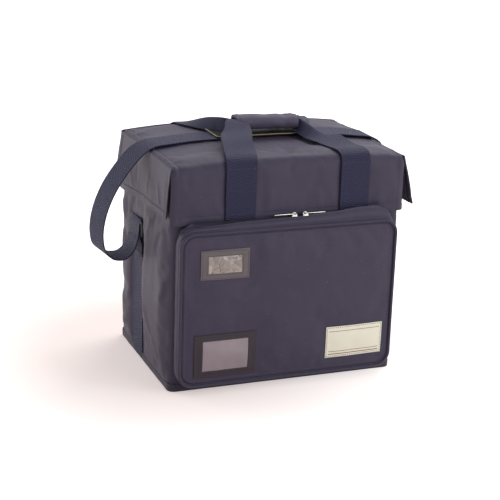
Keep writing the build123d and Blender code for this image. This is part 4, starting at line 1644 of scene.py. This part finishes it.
def make_side_webbing():
    """Webbing sewn up each side, turned over the lower bar of its ring."""
    strip = [
        ((x, ring_y, z), across_y) for x, z in (
            (-186.2, 3), (-186.4, 40), (-186.6, 110), (-186.8, 170), (-186.9, 200),
            (-187.2, 208), (-190.0, 211.6), (-192.9, 208), (-191.0, 201), (-188.9, 194),
            (-188.6, 176),
        )
    ]
    for side, stops in (("left", strip), ("right", mirrored(strip))):
        route = Route(stops)
        piece = webbing(f"side_strip_{side}", route, strap_width, 1.7, step=3)
        dress(piece, "strap_webbing", "root", [f"side_webbing_{side}"])
        half = strap_width / 2 - 3
        rows = [[(-half, 8), (-half, 170)], [(half, 8), (half, 170)]]
        high, low = route.total - 3, route.total - 20
        rows.append([(-half, high), (half, high), (half, low), (-half, low), (-half, high)])
        sew(f"side_strip_{side}_stitching", piece, rows, "strap_webbing", "root")


def make_shoulder_strap():
    """The carrying strap: across the lid and out in a loose loop at each side."""
    leant = (-0.17, 1, 0)
    lid_edge_z = 351  # where the strap starts to follow the lid

    def on_lid(x, y, lift=0.0):
        return x, y, lid_height(x, y) + 1.2 + lift

    left = [
        *((on_lid(x, y, 3.0), across_y) for x, y in ((-52, 14), (-80, 13), (-120, 10))),
        (on_lid(-158, 5, 2.6), (-0.05, 1, 0)), ((-181, 2.5, 356.6), (-0.1, 1, 0)),
        ((-199.5, 2, 347), leant), ((-222, 5, 321), leant), ((-243, 11, 285), leant),
        ((-255.5, 17, 247), leant), ((-258.5, 21, 214), leant),
        ((-253, 24, 190), leant), ((-237, 27, 175.5), (-0.05, 1, 0)),
        ((-217, 29, 173.5), across_y), ((-202.5, 31, 185), across_y),
        ((-195.2, ring_y, 203), across_y),
    ]
    piece = webbing("strap_left_side", Route(left), strap_width, 2.0)
    dress(
        piece, "strap_webbing", ("root", "lid"), ["strap_top", "strap_loop_left"],
        rise=((0, 0, 190), (0, 0, lid_edge_z)),
    )
    end = [
        ((x, ring_y, z), across_y) for x, z in (
            (-195.4, 200), (-193.6, 216), (-192.8, 226), (-190.0, 233.4), (-187.0, 229),
            (-188.2, 222), (-191.2, 215),
        )
    ]
    right = [
        *((on_lid(x, y, 2.4), across_y) for x, y in ((52, 20), (80, 18), (120, 12))),
        (on_lid(160, 0, 2.0), across_y),
        *((point, across_y) for point in (
            (182, -5, 355.0), (197, -6, 345), (214, 2, 308), (229, 16, 266), (236, 28, 238),
            (236.5, ring_y, 212), (231, ring_y, 184), (219, ring_y, 171),
            (206, ring_y, 178), (196.6, ring_y, 200),
        )),
    ]
    piece = webbing("strap_right_side", Route(right), strap_width, 2.0)
    dress(
        piece, "strap_webbing", ("root", "lid"), ["strap_top", "strap_loop_right"],
        rise=((0, 0, 245), (0, 0, lid_edge_z)),
    )
    for side, stops in (("left", end), ("right", mirrored(end))):
        turn = webbing(f"strap_turn_{side}", Route(stops), strap_width - 1, 1.6, step=2)
        dress(
            turn, "strap_webbing", ("root", f"ring_{side}"), [],
            rise=((0, 0, 206), (0, 0, 226)),
        )


def make_pad():
    """The soft shoulder pad and the cord round its edge."""
    low, high = pad_low, pad_high
    middle = (low + high) / 2
    half_x, half_y = (high.x - low.x) / 2, (high.y - low.y) / 2
    core, sit = 4.2, 1.0  # how high the pad's middle is, and how far it lies off the lid
    pad = block(
        "shoulder_cushion", (2 * half_x, 2 * half_y, 6.6), (middle.x, middle.y, low.z + core),
    )
    modify(pad, "BEVEL", width=2.6 * MM, segments=4, limit_method="NONE")
    modify(pad, "REMESH", mode="VOXEL", voxel_size=2.2 * MM)
    for vertex in pad.data.vertices:
        x, y = vertex.co.x / MM - middle.x, vertex.co.y / MM - middle.y
        upper = vertex.co.z / MM > low.z + core
        swell = (1 - abs(x / half_x) ** 4) * (1 - abs(y / half_y) ** 4)
        groove = ridge(half_y - abs(y) - 6, 1.6) + ridge(half_x - abs(x) - 6, 1.6)
        lift = 1.6 * swell - 0.9 * groove + waves(x, y, 26, 0.8, 40)
        vertex.co.z += (sit + (lift if upper else 0)) * MM
    modify(pad, "SMOOTH", factor=0.5, iterations=3)
    smooth_shade(pad, 70)
    dress(pad, "pad_vinyl", "lid", ["shoulder_pad"])
    # The cord round the pad's edge is pale tan: a painted highlight along the black vinyl's edge.
    total, at = rounded_loop(half_x - 0.6, half_y - 0.6, 5)
    edge = []
    for length in lines(0, total, 3)[:-1]:
        (x, y), _ = at(length)
        edge.append((middle.x + x, middle.y + y, low.z + 5.8 + sit + waves(x, y, 30, 0.6, 41)))
    binding = welt("cushion_edge", edge, 0.8, cyclic=True, sides=8)
    dress(binding, "pad_vinyl", "lid", finish=finishes["pad_edge"])


# ================================================================ handles
webbing_width = 47.5
stitch_inset = 3.2
box_length = 74  # of the stitched ends of a handle's loop


def ridged(name, route, width, thickness, fold, gather, floor_z, step=3.5):
    """Webbing that folds down from its middle like a ridge roof. fold(v, u) is how steeply
    each half hangs in radians, gather(v, u) the share of its width it keeps, and no edge
    hangs below floor_z."""
    half = width / 2
    shares = [0.12, 0.28, 0.45, 0.65, 0.85, 0.96, 1]
    us = [-half * share for share in reversed(shares)] + [0] + [half * share for share in shares]

    def place(u, v):
        point, side, normal = route.at(v)
        u *= gather(v, u)
        room = clamp((point.z - floor_z) / half)
        angle = min(fold(v, u), asin(room))
        lift = hypot(u, 2.5) - 2.5
        return point + side * (u * cos(angle)) - normal * (lift * sin(angle))

    return woven_strip(name, us, route, place, thickness, step)


def make_handle(end, leg_y, wall_y, low_z, fold_z, arms, folds, gathers):
    """One carrying handle: webbing sewn up the wall, and the loop that leaves it."""
    side = (1, 0, 0) if end == "front" else (-1, 0, 0)
    sign = -1 if end == "front" else 1
    for label, x in (("left", left_leg_x), ("right", right_leg_x)):
        route = Route([
            ((x, y, z), side) for y, z in (
                (wall_y, low_z), (wall_y, 60), (wall_y + sign * 0.6, 150),
                (wall_y + sign * 0.4, fold_z - 42), (mix(wall_y, leg_y, 0.5), fold_z - 18),
                (leg_y, fold_z - 4), (leg_y, fold_z + 0.5),
            )
        ])
        piece = webbing(f"{end}_handle_root_{label}", route, webbing_width, 1.9, step=5)
        dress(piece, "handle_webbing", "root", [f"{end}_handle_anchor_{label}"])
        half = webbing_width / 2 - stitch_inset
        rows = [[(-half, 6), (half, 6)]]
        rows += [[(u, 6), (u, route.total - 40)] for u in (-half, half)]
        sew(f"{end}_handle_root_{label}_stitching", piece, rows, "handle_webbing", "root")

    route = Route(arms)
    total = route.total
    left_fold, right_fold, steepest = folds

    def fold(v, u):
        """The front handle's left arm stays flat for longer on its outer side."""
        lead = -22 if end == "front" and u < 0 and v < total / 2 else 0
        share = min(smooth(*left_fold, v + lead), smooth(*right_fold, total - v))
        return radians(steepest) * share

    def gather(v, u):
        near, most = smooth(222, 248, v), gathers
        if end == "front" and u < 0 and v < total / 2 + 30:
            near = clamp((v - 163) / 66)
            most = mix(0.66, gathers, smooth(total / 2 - 30, total / 2 + 30, v))
        return 1 - most * min(near, smooth(206, 236, total - v))

    rise = ((0, leg_y, 346), (0, leg_y - sign * 11, 364))
    bodies = (f"{end}_handle_legs", f"{end}_handle_grip")
    piece = ridged(
        f"{end}_handle_loop_webbing", route, webbing_width, 1.9, fold, gather, lid_top + 5.5,
    )
    dress(
        piece, "handle_webbing", bodies,
        [f"{end}_handle_leg_left", f"{end}_handle_leg_right", f"{end}_handle_loop"], rise=rise,
    )
    half = webbing_width / 2 - stitch_inset
    rows = []
    for u in (-half, half):
        for start in (4, total - box_length - 4):
            rows.append([(u, start), (u, start + box_length)])
    for start in (6, box_length, total - box_length, total - 6):
        rows.append([(-half, start), (half, start)])
    sew(f"{end}_handle_loop_stitching", piece, rows, "handle_webbing", bodies, rise=rise)


def make_handles():
    """Both handles, each as (point, direction across) along its loop from left to right."""
    left, right = left_leg_x, right_leg_x
    y = skirt_low.y - 3.6
    flat, turned, back = (1, 0, 0), (0, -1, 0), (-1, 0, 0)
    crest = grip_high.z - 7
    front = [
        ((left, y, 271.5), flat), ((left, y, 300), flat), ((left, y, 335), flat),
        ((left, y + 0.5, 348), flat), ((left + 1, y + 4.2, 356.5), flat),
        ((left + 3.3, -127, 361.6), flat), ((left + 8, -105, 367.5), (1, 0.05, 0)),
        ((left + 13, -80, 375.2), flat), ((left + 24.8, -45, 381.5), (1, -0.03, 0)),
        ((left + 31, -18, crest + 2.6), (1, -0.15, 0)), ((-41, -11, crest + 2.6), (0.8, -0.6, 0)),
        ((-28, -7, crest + 0.5), (0.1, -1, 0)), ((-12, -3, crest - 0.5), turned),
        ((8, -3, crest - 0.5), turned), ((46, -3, crest - 0.5), turned),
        ((61.6, -8, crest - 2), (-0.25, -1, 0)),
        ((70, -27, 381), (-0.7, -0.7, 0)), ((83, -66, 369.5), (-1, -0.1, -0.1)),
        ((94, -98, 363.5), back), ((right - 1.5, -123, 361.6), back),
        ((right, y + 4.2, 356.5), back), ((right, y + 0.5, 348), back),
        ((right, y, 335), back), ((right, y, 300), back), ((right, y, 271.5), back),
    ]
    make_handle(
        "front", y, -half_depth - 2.2, 16, span("front_handle_leg_left")[0].z, front,
        folds=((205, 238), (150, 222), 80), gathers=0.42,
    )
    y = rear_flap_high.y + 2.4
    rear = [
        ((left, y, 261.5), back), ((left, y, 300), back), ((left, y, 335), back),
        ((left, y - 0.5, 348), back), ((left, y - 4.2, 355.5), back),
        ((left + 1, 121, 360.6), back), ((left + 4, 103, 366.5), (-1, -0.1, 0)),
        ((left + 16, 60, 380), (-1, -0.3, 0)), ((left + 27, 24, crest - 1.5), (-0.9, -0.7, 0)),
        ((-42, 8, crest - 1.5), (-0.3, -1, 0)), ((-24, 3, crest - 2.5), turned),
        ((8, 3, crest - 2.5), turned), ((46, 3, crest - 2.5), turned),
        ((62, 8, crest - 2.5), (0.3, -1, 0)), ((76, 30, 383), (0.9, -0.6, 0)),
        ((90, 66, 375), (1, -0.2, 0)), ((right - 3, 103, 364.5), flat),
        ((right - 0.5, 122, 360.4), flat), ((right, y - 4.2, 355.5), flat),
        ((right, y - 0.5, 348), flat), ((right, y, 335), flat), ((right, y, 300), flat),
        ((right, y, 261.5), flat),
    ]
    make_handle(
        "rear", y, half_depth + 2.2, 14, span("rear_handle_leg_left")[0].z, rear,
        folds=((96, 150), (96, 150), 76), gathers=0.46,
    )


def make_grip():
    """The padded sleeve that closes round both handles."""
    low, high = grip_low, grip_high.copy()
    middle = (low + high) / 2
    high.x -= 6
    length = high.x - low.x
    half_y, half_z = (high.y - low.y) / 2 - 1.5, (high.z - low.z) / 2 - 4.6
    total, at = rounded_loop(half_y, half_z, 5.2)
    hem_v = 6  # from an end of the sleeve to its stitching

    def place(u, v):
        (y, z), normal = at(u)
        swell = 0.5 * sin(pi * clamp((v - hem_v) / (length - 2 * hem_v))) ** 0.6
        swell += waves(u, v, 26, 0.35, 50)
        sag = 1.8 - 3.0 * v / length
        return (
            low.x + v, middle.y + y + normal[0] * swell, middle.z + z + normal[1] * swell + sag,
        )

    around = lines(0, total, 4)[::-1]
    sleeve = panel("grip_sleeve", around, lines(0, length, 4), place, closed=True)
    billow(
        sleeve, lambda u, v: min(1.0, max(smooth(10, 5, v), smooth(length - 10, length - 5, v))),
        1.0, 0.012, frames=12, reach=1.6,
    )
    refine(sleeve, 1)

    def relief(u, v):
        hems = max(ridge(v - hem_v, 1.2), ridge(v - length + hem_v, 1.2))
        seam = ridge(u - total * 0.62, 1.6)
        return -0.7 * hems - 0.6 * seam + waves(u, v, 12, 0.4, 51)

    emboss(sleeve, relief)
    thicken(sleeve, 4.2)
    soften(sleeve, 1.2, segments=3, angle=60)
    smooth_shade(sleeve, 50)
    dress(sleeve, "grip_padding", "front_handle_grip", ["grip_wrap"])
    rows = [[(0, v), (total - 0.01, v)] for v in (hem_v, length - hem_v)]
    sew("grip_stitching", sleeve, rows, "grip_padding", "front_handle_grip")


# ================================================================ camera, light and floor
def seen_rays(tree):
    """1 for rays that show a surface to the camera, straight or in metal or glass."""
    rays = node(tree, "LightPath")
    seen = maths(tree, "MAXIMUM", rays.outputs["Is Camera Ray"], rays.outputs["Is Glossy Ray"])
    return maths(tree, "MAXIMUM", seen, rays.outputs["Is Transmission Ray"])


def make_stage():
    """A long-lensed camera that looks down a little, three lamps, a white world, and a white floor
    with a painted shadow round the box's foot.
    """
    yaw, pitch, roll = radians(21.585), radians(17.468), radians(1.981)
    stand = Vector((-0.78403, -1.95635, 0.83513))
    ahead = Vector((sin(yaw), cos(yaw), 0))
    right = Vector((cos(yaw), -sin(yaw), 0))
    forward = ahead * cos(pitch) - Vector((0, 0, sin(pitch)))
    up = Vector((0, 0, cos(pitch))) + ahead * sin(pitch)
    across = right * cos(roll) + up * sin(roll)
    upward = up * cos(roll) - right * sin(roll)
    data = bpy.data.cameras.new("camera")
    data.lens = 98.69
    camera = linked("camera", data)
    turn = Matrix((across, upward, -forward)).transposed()
    camera.matrix_world = Matrix.Translation(stand) @ turn.to_4x4()
    data.clip_end = 50
    bpy.context.scene.camera = camera

    for name, size, place, aim, power, colour in (
        ("key", (1.5, 1.5), (1.1, 1.0, 2.3), (0, 0, 0.25), 27, (1.0, 0.97, 0.96)),
        ("left", (1.6, 1.6), (-2.1, 1.9, 0.7), (-0.1, 0, 0.15), 18.5, (1.0, 0.97, 0.97)),
        ("front", (1.8, 1.4), (1.5, -2.4, 1.3), (0, 0, 0.15), 30, (0.98, 0.98, 1.0)),
    ):
        light = bpy.data.lights.new(name, "AREA")
        light.shape = "RECTANGLE"
        light.size, light.size_y = size
        light.energy = power
        light.color = colour
        lamp = linked(name, light)
        lamp.location = place
        lamp.rotation_euler = (Vector(aim) - Vector(place)).to_track_quat("-Z", "Y").to_euler()

    bpy.context.scene.view_settings.view_transform = "Standard"
    world = bpy.data.worlds.new("studio")
    bpy.context.scene.world = world
    world.use_nodes = True
    tree = world.node_tree
    background = tree.nodes["Background"]
    strength = maths(tree, "MULTIPLY_ADD", seen_rays(tree), 0.62, 0.38)
    tree.links.new(strength, background.inputs["Strength"])
    background.inputs["Color"].default_value = (1, 1, 1, 1)

    deselect()
    bpy.ops.mesh.primitive_plane_add(size=12)
    floor = named("floor")
    made = bpy.data.materials.new("floor")
    made.use_nodes = True
    tree = made.node_tree
    shader = tree.nodes["Principled BSDF"]
    shader.inputs["Base Color"].default_value = (0.86, 0.76, 0.73, 1)
    shader.inputs["Roughness"].default_value = 0.9
    shader.inputs["Specular IOR Level"].default_value = 0.0
    around = node(tree, "TexCoord").outputs["Object"]
    painted_shadow_middle = (-0.14, 0.06, 0)  # the middle of the painted shadow, where the floor glows least
    off = node(tree, "VectorMath", [(0, around), (1, painted_shadow_middle)], operation="DISTANCE")
    distance = off.outputs["Value"]
    # The floor glows dim and warm near the box and white away from it: a painted shadow on top of
    # the real one.
    open_floor = node(tree, "MapRange", [(0, distance), (1, 0.18), (2, 0.56)]).outputs[0]
    glow = mixed_colour(tree, (0.45, 0.41, 0.4), (0.92, 0.92, 0.92), open_floor)
    tree.links.new(colour_out(glow), shader.inputs["Emission Color"])
    tree.links.new(seen_rays(tree), shader.inputs["Emission Strength"])
    floor.data.materials.append(made)


make_walls()
make_base()
make_liner()
make_lid()
make_flaps()
make_pocket()
make_window("upper_window", "window_vinyl_upper", "creased_film", 1.0)
make_window("lower_window", "window_vinyl_lower", "clear_film", 0.08)
make_label()
make_sliders()
make_side_webbing()
make_shoulder_strap()
make_pad()
make_handles()
make_grip()
for finish_name, node_names in (
    ("black_plastic", ("ring_left", "ring_right", "strap_adjuster")),
    ("insulation_foam", ("front_foam", "back_foam", "left_foam", "right_foam", "base_foam")),
    ("stiffener_board", ("base_board",)),
    ("hook_loop", ("closure_hook", "closure_loop")),
):
    for node_name in node_names:
        plain = bpy.data.objects.get(node_name)
        if plain:
            plain.data.materials.clear()
            plain.data.materials.append(finishes[finish_name])
make_stage()
